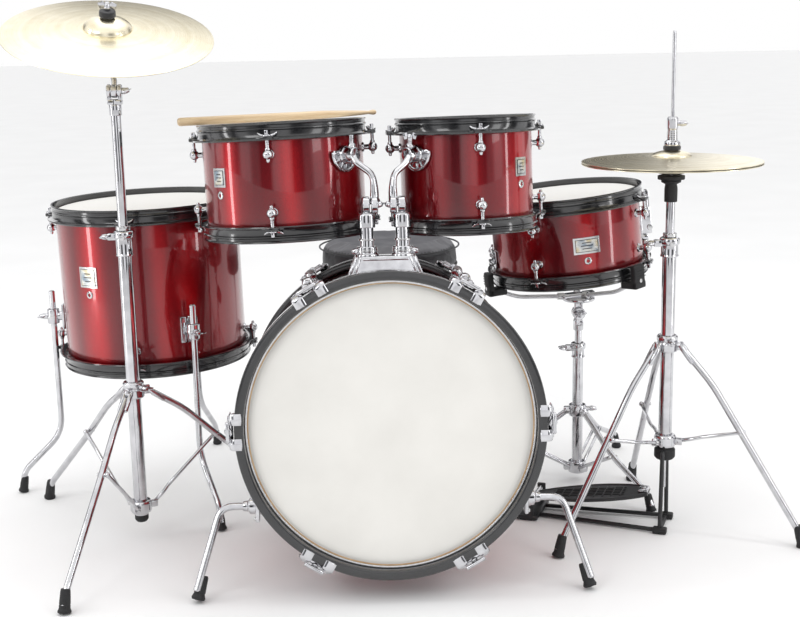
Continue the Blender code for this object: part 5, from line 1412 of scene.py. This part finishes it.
def hihat():
    base = Shape()
    stand_tube(base, HIHAT_AT, 0.116, HIHAT_TOP, 0.0105, inner=0.0072)
    hub_ring(base, HIHAT_AT, HIHAT_AZIMUTHS, HIHAT_TRIPOD)
    clamp_ring(base, HIHAT_AT, HIHAT_TOP, 0.0150, 0.0072, 0.030, -1)
    base.piece("hihat_stand_lower", "kit_frame", ["hihat_stand_base"])
    lower = Shape()
    lower.lathe([(0.0036, 0.1140), (0.0130, 0.1140), (0.0165, 0.1180), (0.0165, 0.1300), (0.0120, 0.1345),
                 (0.0036, 0.1345)], RUBBER, shifted(HIHAT_AT), 40, True, 0.0012)
    for side in (-1, 1):
        path = [pedal_point(0.0, side * 0.014, 0.1290), pedal_point(0.0, side * 0.023, 0.1270),
                pedal_point(0.0, side * 0.034, 0.0080), pedal_point(0.012, side * 0.0335, 0.0052),
                pedal_point(0.212, side * 0.020, 0.0052)]
        lower.sweep(smooth_path(path, 0.006, 5), 0.0034, POWDER, 14)
        for along_x in (0.0, 0.216):
            spread = 0.034 if along_x == 0 else 0.036
            lower.block((0.022, 0.014, 0.0098), RUBBER, shifted(pedal_point(along_x, side * spread, 0.0050))
                        @ spun(PEDAL_TURN), 0.0022)
        cheek = shifted(pedal_point(0.210, side * 0.0415, 0.020)) @ spun(PEDAL_TURN)
        lower.block((0.0140, 0.0052, 0.0340), POWDER, cheek, 0.0018)
        lower.rod(cheek @ Vector((0, side * 0.0020, 0.0100)), cheek @ Vector((0, side * 0.0046, 0.0100)),
                  0.0040, BRIGHT)
    lower.block((0.038, 0.088, 0.0080), POWDER, shifted(pedal_point(0.216, 0, 0.0056)) @ spun(PEDAL_TURN),
                0.0020)
    lower.rod(pedal_point(0.0, -0.036, 0.0052), pedal_point(0.0, 0.036, 0.0052), 0.0034, POWDER)
    lower.piece("hihat_pedal_frame", "kit_frame")
    folding_stand("hihat", "hihat", HIHAT_AT, HIHAT_AZIMUTHS, HIHAT_TRIPOD)
    upper = Shape()
    stand_tube(upper, HIHAT_AT, 0.330, 0.540, 0.0068, inner=0.0040)
    stand_tube(upper, HIHAT_AT, HIHAT_TOP + 0.001, HIHAT_TOP + 0.0065, 0.0105, BRIGHT, inner=0.0066)
    here = shifted(HIHAT_AT)
    edge = HIHAT_EDGE
    upper.lathe([(0.0040, edge - 0.0600), (0.0098, edge - 0.0600), (0.0100, edge - 0.0400),
                 (0.0088, edge - 0.0330), (0.0150, edge - 0.0300), (0.0150, edge - 0.0270),
                 (0.0118, edge - 0.0262), (0.0205, edge - 0.0256), (0.0205, edge - 0.0200),
                 (0.0170, edge - 0.0192), (0.0040, edge - 0.0192)], RUBBER, here, 44, True, 0.0007)
    upper.piece("hihat_stand_upper", "hihat_tube", ["hihat_stand_tube"])
    rise = 0.0080
    bottom = Shape()
    cymbal(bottom, 0.1356, rise, 0.030, 0.0085)
    bottom.piece("hihat_bottom_cymbal_turned", "hihat_tube", ["hihat_bottom_cymbal"],
                 shifted(HIHAT_AT + Vector((0, 0, edge - 0.002))) @ spun(math.pi, "X"), 60)
    top = Shape()
    cymbal(top, 0.1356, rise, 0.030, 0.0085)
    top.piece("hihat_top_cymbal_turned", "hihat_rod", ["hihat_top_cymbal"],
              shifted(HIHAT_AT + Vector((0, 0, edge + 0.002))), 60)
    bell = edge + 0.002 + rise + 0.0085
    rod = Shape()
    rod.lathe([(0, 0.066), (0.0027, 0.066), (0.0027, 0.776), (0.0018, 0.780), (0, 0.780)], CHROME, here, 20)
    rod.lathe(disc_outline(0.0132, bell + 0.0004, bell + 0.0066), FELT, here, 36,
              False, 0.0016)
    rod.lathe([(0, bell + 0.0066), (0.0118, bell + 0.0066), (0.0124, bell + 0.0090), (0.0118, bell + 0.0125),
               (0.0080, bell + 0.0150), (0.0074, bell + 0.0300), (0.0082, bell + 0.0330),
               (0.0086, bell + 0.0470), (0.0070, bell + 0.0500), (0, bell + 0.0500)], CHROME, here, 40, False,
              0.0006)
    rod.lathe(disc_outline(0.0048, bell - 0.0170, bell + 0.0010), CHROME, here,
              24, False, 0.0006)
    for k in range(4):
        rod.ring(0.0080, 0.0070, bell + 0.0172 + 0.0030 * k, bell + 0.0186 + 0.0030 * k, BRIGHT, here, 30,
                 0.0003)
    bolt = HIHAT_AT + Vector((0.0150, 0, bell + 0.0400))
    rod.rod(HIHAT_AT + Vector((0.004, 0, bell + 0.0400)), bolt, 0.0038, CHROME)
    rod.wing_screw(shifted(bolt) @ SIDEWAYS, CHROME, 0.022, 0.008)
    rod.piece("hihat_pull_rod_and_clutch", "hihat_rod", ["hihat_pull_rod"])


def leaf_board(name, body, nodes, hinge_at, turn, length, slope, width, hinge_out):
    """A leaf-shaped footboard with a raised rim, ribs and a toe stop; X runs from toe to heel."""
    place = hinge_at @ turn @ spun(slope, "Y")
    board = Shape()
    steps = 30
    half_at = []
    for k in range(steps + 1):
        share = k / steps
        half = width / 2 * (0.34 + 0.66 * math.sin(math.pi * min(1.0, share ** 0.85 * 0.98 + 0.02)) ** 0.75)
        half_at.append((-length * (1 - share) - 0.002, max(half, 0.011)))
    points, faces = [], []
    for x, half in half_at:
        for y, z in ((-half, -0.0024), (half, -0.0024), (half, 0.0032), (half - 0.003, 0.0034),
                     (half - 0.004, 0.0020), (-half + 0.004, 0.0020), (-half + 0.003, 0.0034),
                     (-half, 0.0032)):
            points.append((x, y, z))
    for k in range(steps):
        for j in range(8):
            a, b = 8 * k + j, 8 * k + (j + 1) % 8
            faces.append((a, b, b + 8, a + 8))
    faces += [tuple(range(8)), tuple(range(8 * steps + 7, 8 * steps - 1, -1))]
    board.add(points, faces, POWDER, place)
    rib = Shape()
    rib.block((length * 0.62, 0.0020, 0.0016), POWDER, at(-length * 0.50, 0, 0.0026), 0.0006)
    along(board, rib, POWDER, 5, (0, 0.0078, 0), place @ at(0, -0.0156, 0))
    for k in range(9):
        x = -length * (0.18 + 0.075 * k)
        board.block((0.0022, 0.052 * math.sin(math.pi * (0.20 + 0.06 * k)), 0.0014), POWDER,
                    place @ at(x, 0, 0.0024), 0.0006)
    board.rod(place @ Vector((0, -hinge_out, 0)), place @ Vector((0, hinge_out, 0)), 0.0046, BRIGHT)
    board.block((0.016, 0.024, 0.0050), CHROME, place @ at(-length + 0.005, 0, 0.0040), 0.0016)
    board.rod(place @ Vector((-length + 0.005, 0, 0.004)), place @ Vector((-length + 0.005, 0, 0.0085)),
              0.0040, BRIGHT)
    board.piece(name, body, nodes)


def hihat_board():
    hinge = shifted(pivot_at("hihat_pedal"))
    slope = math.atan2(0.026, 0.190)
    leaf_board("hihat_footboard", "hihat_board", ["hihat_pedal_board"], hinge, spun(PEDAL_TURN), 0.186, slope,
               0.074, 0.0375)


# ---------------------------------------------------------------- throne, bass pedal, stick
SEAT_TOP = 0.402
SEAT_LOW = 0.346
SEAT_RADIUS = 0.135
THRONE = on_floor("throne_seat_spin")


def simulated(outline, low, cap):
    """A stuffed round form: remeshed, blown up a little as cloth over its board, and held within a cap."""
    seat = Shape()
    seat.lathe(outline, SEAT_SIDE_VINYL, at(THRONE.x, THRONE.y, 0), 64)
    form = seat.object("seat_form")
    remesh = form.modifiers.new("even_mesh", "REMESH")
    remesh.mode = "VOXEL"
    remesh.voxel_size = 0.0055
    bpy.context.view_layer.update()
    mesh = bpy.data.meshes.new_from_object(form.evaluated_get(bpy.context.evaluated_depsgraph_get()))
    bpy.data.objects.remove(form, do_unlink=True)
    form = bpy.data.objects.new("seat_cloth", mesh)
    bpy.context.scene.collection.objects.link(form)
    rest = [vert.co.copy() for vert in mesh.vertices]
    held = form.vertex_groups.new(name="on_the_board")
    held.add([k for k, spot in enumerate(rest) if spot.z < low + 0.012], 1.0, "REPLACE")
    cloth = form.modifiers.new("stuffing", "CLOTH")
    cloth.settings.use_pressure = True
    cloth.settings.uniform_pressure_force = 4.0
    cloth.settings.vertex_group_mass = "on_the_board"
    cloth.settings.effector_weights.gravity = 0.0
    scene = bpy.context.scene
    for step in range(1, 21):
        scene.frame_set(step)
    blown = bpy.data.meshes.new_from_object(form.evaluated_get(bpy.context.evaluated_depsgraph_get()))
    scene.frame_set(1)
    for vert, start in zip(blown.vertices, rest):
        move = vert.co - start
        if move.length > cap:
            vert.co = start + move.normalized() * cap
    bpy.data.objects.remove(form, do_unlink=True)
    form = bpy.data.objects.new("seat_cloth", blown)
    bpy.context.scene.collection.objects.link(form)
    return form


def throne():
    base = Shape()
    stand_tube(base, THRONE, 0.030, 0.330, 0.0125, inner=0.0098)
    open_tripod(base, THRONE, 90, 0.052, 0.190, (0.118, 0.112), 0.212, 0.0125)
    clamp_ring(base, THRONE, 0.328, 0.0166, 0.0098, 0.034, 1, math.radians(40))
    base.piece("throne_tripod", "kit_frame", ["throne_base"])
    inset = 0.005
    outline = [(0, SEAT_TOP - inset), (0.060, SEAT_TOP - inset), (0.100, SEAT_TOP - inset - 0.001),
               (SEAT_RADIUS - 0.014, SEAT_TOP - inset - 0.004), (SEAT_RADIUS - inset, SEAT_TOP - 0.018),
               (SEAT_RADIUS - inset, SEAT_LOW + 0.012), (SEAT_RADIUS - inset - 0.003, SEAT_LOW + 0.004),
               (0, SEAT_LOW + 0.004)]
    form = simulated(outline, SEAT_LOW, 0.005)
    mesh = form.data
    for vert in mesh.vertices:
        spot = Vector((vert.co.x - THRONE.x, vert.co.y - THRONE.y))
        pull = math.exp(-((vert.co.z - (SEAT_TOP - 0.0150)) / 0.0028) ** 2) * 0.0022
        if spot.length > SEAT_RADIUS - 0.012:
            vert.co.x -= spot.x / spot.length * pull
            vert.co.y -= spot.y / spot.length * pull
        vert.co.z = min(vert.co.z, SEAT_TOP + 0.001)
    mesh.materials.clear()
    mesh.materials.append(SEAT_SIDE_VINYL)
    mesh.materials.append(SEAT_TOP_VINYL)
    for poly in mesh.polygons:
        poly.material_index = 1 if poly.center.z > SEAT_TOP - 0.0150 else 0
        poly.use_smooth = True
    finer = form.modifiers.new("finer", "SUBSURF")
    finer.levels = 1
    finer.render_levels = 1
    bpy.context.view_layer.update()
    smooth = bpy.data.meshes.new_from_object(form.evaluated_get(bpy.context.evaluated_depsgraph_get()))
    bpy.data.objects.remove(form, do_unlink=True)
    smooth.transform(LAYOUT)
    seat = bpy.data.objects.new("throne_seat_padded", smooth)
    bpy.context.scene.collection.objects.link(seat)
    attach(seat, "throne_seat")
    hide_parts("throne_seat")
    trim = Shape()
    here = shifted(THRONE)
    circle = [(SEAT_RADIUS - 0.0016 + 0.0016 * math.cos(TAU * k / 10),
               SEAT_TOP - 0.0150 + 0.0016 * math.sin(TAU * k / 10)) for k in range(10)]
    trim.lathe(circle, SEAT_SIDE_VINYL, here, 128, True)
    trim.lathe([(0, SEAT_LOW), (SEAT_RADIUS - 0.006, SEAT_LOW), (SEAT_RADIUS - 0.004, SEAT_LOW + 0.006),
                (0, SEAT_LOW + 0.006)], FELT, here, 96, False, 0.0012)
    trim.lathe([(0, 0.3305), (0.0180, 0.3305), (0.0220, 0.3350), (0.0400, 0.3425), (0.0420, SEAT_LOW + 0.001),
                (0, SEAT_LOW + 0.001)], CHROME, here, 44, False, 0.0010)
    trim.lathe(disc_outline(0.0090, 0.200, 0.332), CHROME, here, 32, False, 0.001)
    bolt = Shape()
    bolt.rod((0.034, 0, 0.3400), (0.034, 0, 0.3440), 0.0036, BRIGHT)
    around(trim, bolt, BRIGHT, 4, 0.4, here)
    trim.piece("throne_seat_base_and_piping", "throne_seat")


def bass_pedal():
    rear_y = BASS_LENGTH * math.cos(BASS_TILT) + BASS_HOOP * math.sin(BASS_TILT) + 0.004
    axle = pivot_at("bass_pedal_beater")
    heel = pivot_at("bass_pedal")
    base = Shape()
    base.block((0.092, 0.046, 0.0078), CHROME, at(0, rear_y + 0.034, 0.0040), 0.0022)
    base.block((0.092, 0.034, 0.0078), CHROME, at(0, heel.y + 0.004, 0.0040), 0.0022)
    for side in (-1, 1):
        x = side * 0.034
        base.rod((x, axle.y, 0.004), (x, axle.y, axle.z), 0.0060, CHROME, 0.0050)
        base.rod((x + side * 0.0060, axle.y, axle.z), (x - side * 0.0065, axle.y, axle.z), 0.0095, CHROME,
                 sides=30)
        base.ring(0.0105, 0.0085, -0.003, 0.003, BRIGHT, at(x, axle.y, 0.120), 24, 0.0008)
        base.sweep([(side * 0.022, rear_y + 0.030, 0.0040), (side * 0.022, heel.y, 0.0040)], 0.0030, CHROME,
                   12)
        cheek = at(side * 0.0405, heel.y, 0.018)
        base.block((0.0058, 0.0130, 0.0240), CHROME, cheek, 0.0018)
        base.rod(cheek @ Vector((side * 0.002, 0, 0.007)), cheek @ Vector((side * 0.0046, 0, 0.007)), 0.0036,
                 BRIGHT)
    jaw = BASS_HOOP - BASS_RADIUS + 0.0035
    base.block((0.030, 0.032, 0.0056), CHROME, at(0, rear_y + 0.002, jaw + 0.006), 0.0016)
    base.block((0.030, 0.012, 0.0240), CHROME, at(0, rear_y + 0.014, 0.0120), 0.0024)
    base.wing_screw(at(0.0, rear_y + 0.006, jaw + 0.012), CHROME, 0.024, 0.009)
    base.piece("bass_pedal_frame_cast", "kit_frame", ["bass_pedal_frame"])
    spring = Shape()
    seed = Shape()
    seed.ball((0, 0, 0), 0.001, CHROME, sides=6)
    mesh = grown(seed, COILS, CHROME, {"Wires": 1, "Step": (0, 0, 0), "Turns": 22.0, "Length": 0.070,
                                      "Coil radius": 0.0046, "Wire radius": 0.0007})
    spring.absorb(mesh, CHROME, at(0.0475, axle.y + 0.002, 0.112))
    spring.rod((0.034, axle.y, axle.z - 0.018), (0.0475, axle.y + 0.002, axle.z - 0.020), 0.0022, CHROME)
    spring.rod((0.034, axle.y, 0.108), (0.0475, axle.y + 0.002, 0.108), 0.0024, CHROME)
    spring.piece("bass_pedal_spring", "kit_frame")
    turn = spun(math.pi / 2)
    leaf_board("bass_pedal_footboard", "pedal_board", ["bass_pedal_board"], shifted(heel), turn, 0.202,
               math.radians(13), 0.072, 0.0365)
    beater = Shape()
    lean = math.radians(36)
    up = Vector((0, math.sin(lean), math.cos(lean)))
    face = Vector((0, math.cos(lean), -math.sin(lean)))
    tip = axle + up * 0.130
    beater.rod(axle - Vector((0.0270, 0, 0)), axle + Vector((0.0270, 0, 0)), 0.0052, CHROME)
    beater.rod(axle - Vector((0.0072, 0, 0)), axle + Vector((0.0072, 0, 0)), 0.0160, CHROME, sides=40,
               edge=0.0012)
    beater.rod(axle, tip + up * 0.010, 0.0031, CHROME)
    beater.lathe([(0, -0.0260), (0.0140, -0.0255), (0.0186, -0.0210), (0.0190, -0.0120), (0.0150, 0.0170),
                  (0.0130, 0.0180), (0, 0.0180)], FELT, between(tip, tip + face), 40, False, 0.0014)
    beater.piece("bass_pedal_beater_felt", "pedal_beater", ["bass_pedal_beater"])


def drumstick():
    place = drum_at(TOM_LEFT)
    radius = TOM_LEFT["radius"]
    height = TOM_LEFT["depth"] / 2 + HOOP_RISE + 0.0066 + 0.0004
    butt = place @ Vector((-radius - 0.034, -0.010, height))
    shoulder = place @ Vector((radius - 0.060, 0.052, height))
    tip = place @ Vector((radius + 0.020, 0.078, height - 0.001))
    body = (shoulder - butt).length
    neck = (tip - shoulder).length
    whole = between(butt, shoulder.lerp(tip, 0.5))
    outline = [(0, -0.0002), (0.0040, 0.0004), (0.0060, 0.0024), (0.0064, 0.0060), (0.0064, body * 0.55),
               (0.0063, body), (0.0052, body + neck * 0.35), (0.0036, body + neck * 0.75),
               (0.0026, body + neck * 0.90), (0.0034, body + neck * 0.94), (0.0040, body + neck * 0.98),
               (0.0036, body + neck + 0.0024), (0.0018, body + neck + 0.0042), (0, body + neck + 0.0044)]
    stick = Shape()
    stick.lathe(outline, MAPLE, whole, 32)
    stick.piece("drumstick_turned", "tom_left", ["drumstick"])


# ---------------------------------------------------------------- stage, light and camera
def stage():
    """A wide pale floor under a soft white sky; near the horizon, dark bands show up in the plated parts."""
    floor = Shape()
    floor.add([(-30, -14, 0), (30, -14, 0), (30, 40, 0), (-30, 40, 0)], [(0, 1, 2, 3)], FLOOR)
    made = floor.object("studio_floor", at(0, 0, -0.0002))
    world = bpy.data.worlds.new("studio")
    bpy.context.scene.world = world
    world.use_nodes = True
    nodes, links = world.node_tree.nodes, world.node_tree.links
    back = nodes["Background"]
    place = nodes.new("ShaderNodeTexCoord")
    apart = nodes.new("ShaderNodeSeparateXYZ")
    links.new(place.outputs["Generated"], apart.inputs["Vector"])

    def sums(kind, *values):
        node = nodes.new("ShaderNodeMath")
        node.operation = kind
        for socket, given in zip(node.inputs, values):
            if isinstance(given, (int, float)):
                socket.default_value = given
            else:
                links.new(given, socket)
        return node.outputs[0]

    turn = sums("ARCTAN2", apart.outputs["Y"], apart.outputs["X"])
    bands = sums("ADD", sums("SINE", sums("MULTIPLY", turn, 7.0)),
                 sums("MULTIPLY", sums("SINE", sums("MULTIPLY", turn, 17.0)), 0.45))
    ramp = nodes.new("ShaderNodeValToRGB")
    low, high = ramp.color_ramp.elements
    low.position, low.color = 0.30, (0.05, 0.05, 0.055, 1)
    high.position, high.color = 0.74, (1.25, 1.25, 1.27, 1)
    links.new(sums("MULTIPLY_ADD", bands, 0.345, 0.5), ramp.inputs["Fac"])
    rise = nodes.new("ShaderNodeMapRange")
    rise.interpolation_type = "SMOOTHSTEP"
    rise.inputs["From Min"].default_value = 0.34
    rise.inputs["From Max"].default_value = 0.72
    links.new(apart.outputs["Z"], rise.inputs["Value"])
    sky = nodes.new("ShaderNodeMix")
    sky.data_type = "RGBA"
    links.new(rise.outputs["Result"], sky.inputs["Factor"])
    links.new(ramp.outputs["Color"], sky.inputs["A"])
    sky.inputs["B"].default_value = (1.22, 1.22, 1.22, 1)
    path = nodes.new("ShaderNodeLightPath")
    seen = nodes.new("ShaderNodeMix")
    seen.data_type = "RGBA"
    links.new(path.outputs["Is Camera Ray"], seen.inputs["Factor"])
    links.new(sky.outputs["Result"], seen.inputs["A"])
    seen.inputs["B"].default_value = (1.0, 1.0, 1.0, 1.0)
    links.new(seen.outputs["Result"], back.inputs["Color"])
    back.inputs["Strength"].default_value = 1.0


def softbox(name, spot, target, width, height, watts):
    light = bpy.data.lights.new(name, "AREA")
    light.shape = "RECTANGLE"
    light.size = width
    light.size_y = height
    light.energy = watts
    lamp = bpy.data.objects.new(name, light)
    bpy.context.scene.collection.objects.link(lamp)
    lamp.matrix_world = (shifted(spot)
                         @ (Vector(target) - Vector(spot)).to_track_quat("-Z", "Y").to_matrix().to_4x4())


def camera():
    """A long lens just above the toms' height, turned a little down and a little to the right."""
    yaw, pitch, roll = math.radians(1.98), math.radians(12.05), math.radians(1.14)
    forward = Vector((math.sin(yaw) * math.cos(pitch), math.cos(yaw) * math.cos(pitch), -math.sin(pitch)))
    level = Vector((math.cos(yaw), -math.sin(yaw), 0))
    rise = level.cross(forward)
    up = rise * math.cos(roll) + level * math.sin(roll)
    right = level * math.cos(roll) - rise * math.sin(roll)
    turn = Matrix((right, up, -forward)).transposed().to_4x4()
    data = bpy.data.cameras.new("audience_view")
    data.sensor_width = 36.0
    data.lens = 58.0
    view = bpy.data.objects.new("audience_view", data)
    bpy.context.scene.collection.objects.link(view)
    view.matrix_world = LAYOUT @ shifted((-0.0442, -1.7059, 0.7838)) @ turn
    bpy.context.scene.camera = view


FLOOR = plain_finish("pale_floor", (0.86, 0.86, 0.86), (0.89, 0.89, 0.89), (0.7, 0.8), 3.0, (0.02, 0.001),
                     level=0.2)

bass_shell()
bass_hoop_and_claws(BASS_AT, "bass_front", HEAD_BASS, ["bass_front_hoop"], ["bass_front_head"])
bass_hoop_and_claws(BASS_REAR_AT, "bass_rear", HEAD_WHITE, ["bass_rear_head"], [])
spurs()
tom_mount()
tom_post(-1, "left")
tom_post(1, "right")
tom_arm(-1, "left", TOM_LEFT)
tom_arm(1, "right", TOM_RIGHT)
drum("tom_left", TOM_LEFT, "tom_left")
drum("tom_right", TOM_RIGHT, "tom_right")
drum("floor_tom", FLOOR_TOM, "kit_frame", floor_brackets)
for number, azimuth in enumerate(FLOOR_LEG_AZIMUTHS, 1):
    floor_leg(number, azimuth)
snare_wires(drum("snare", SNARE, "snare", snare_fittings))
snare_lever()
snare_basket()
snare_stand()
crash_stand()
hihat()
hihat_board()
throne()
bass_pedal()
drumstick()

stage()
softbox("key_left", (-2.2, -2.6, 2.4), (0, 0, 0.4), 1.2, 1.2, 16)
softbox("fill_right", (2.4, -2.2, 1.8), (0, 0, 0.4), 0.8, 1.6, 9)
softbox("top", (0, 0.4, 3.0), (0, 0, 0.3), 2.4, 2.4, 14)
softbox("strip_left", (-1.9, -0.6, 0.8), (0, 0, 0.4), 0.16, 2.0, 8)
softbox("strip_right", (1.9, -0.9, 0.9), (0, 0, 0.4), 0.16, 2.0, 7)
camera()
bpy.context.scene.view_settings.view_transform = "Standard"
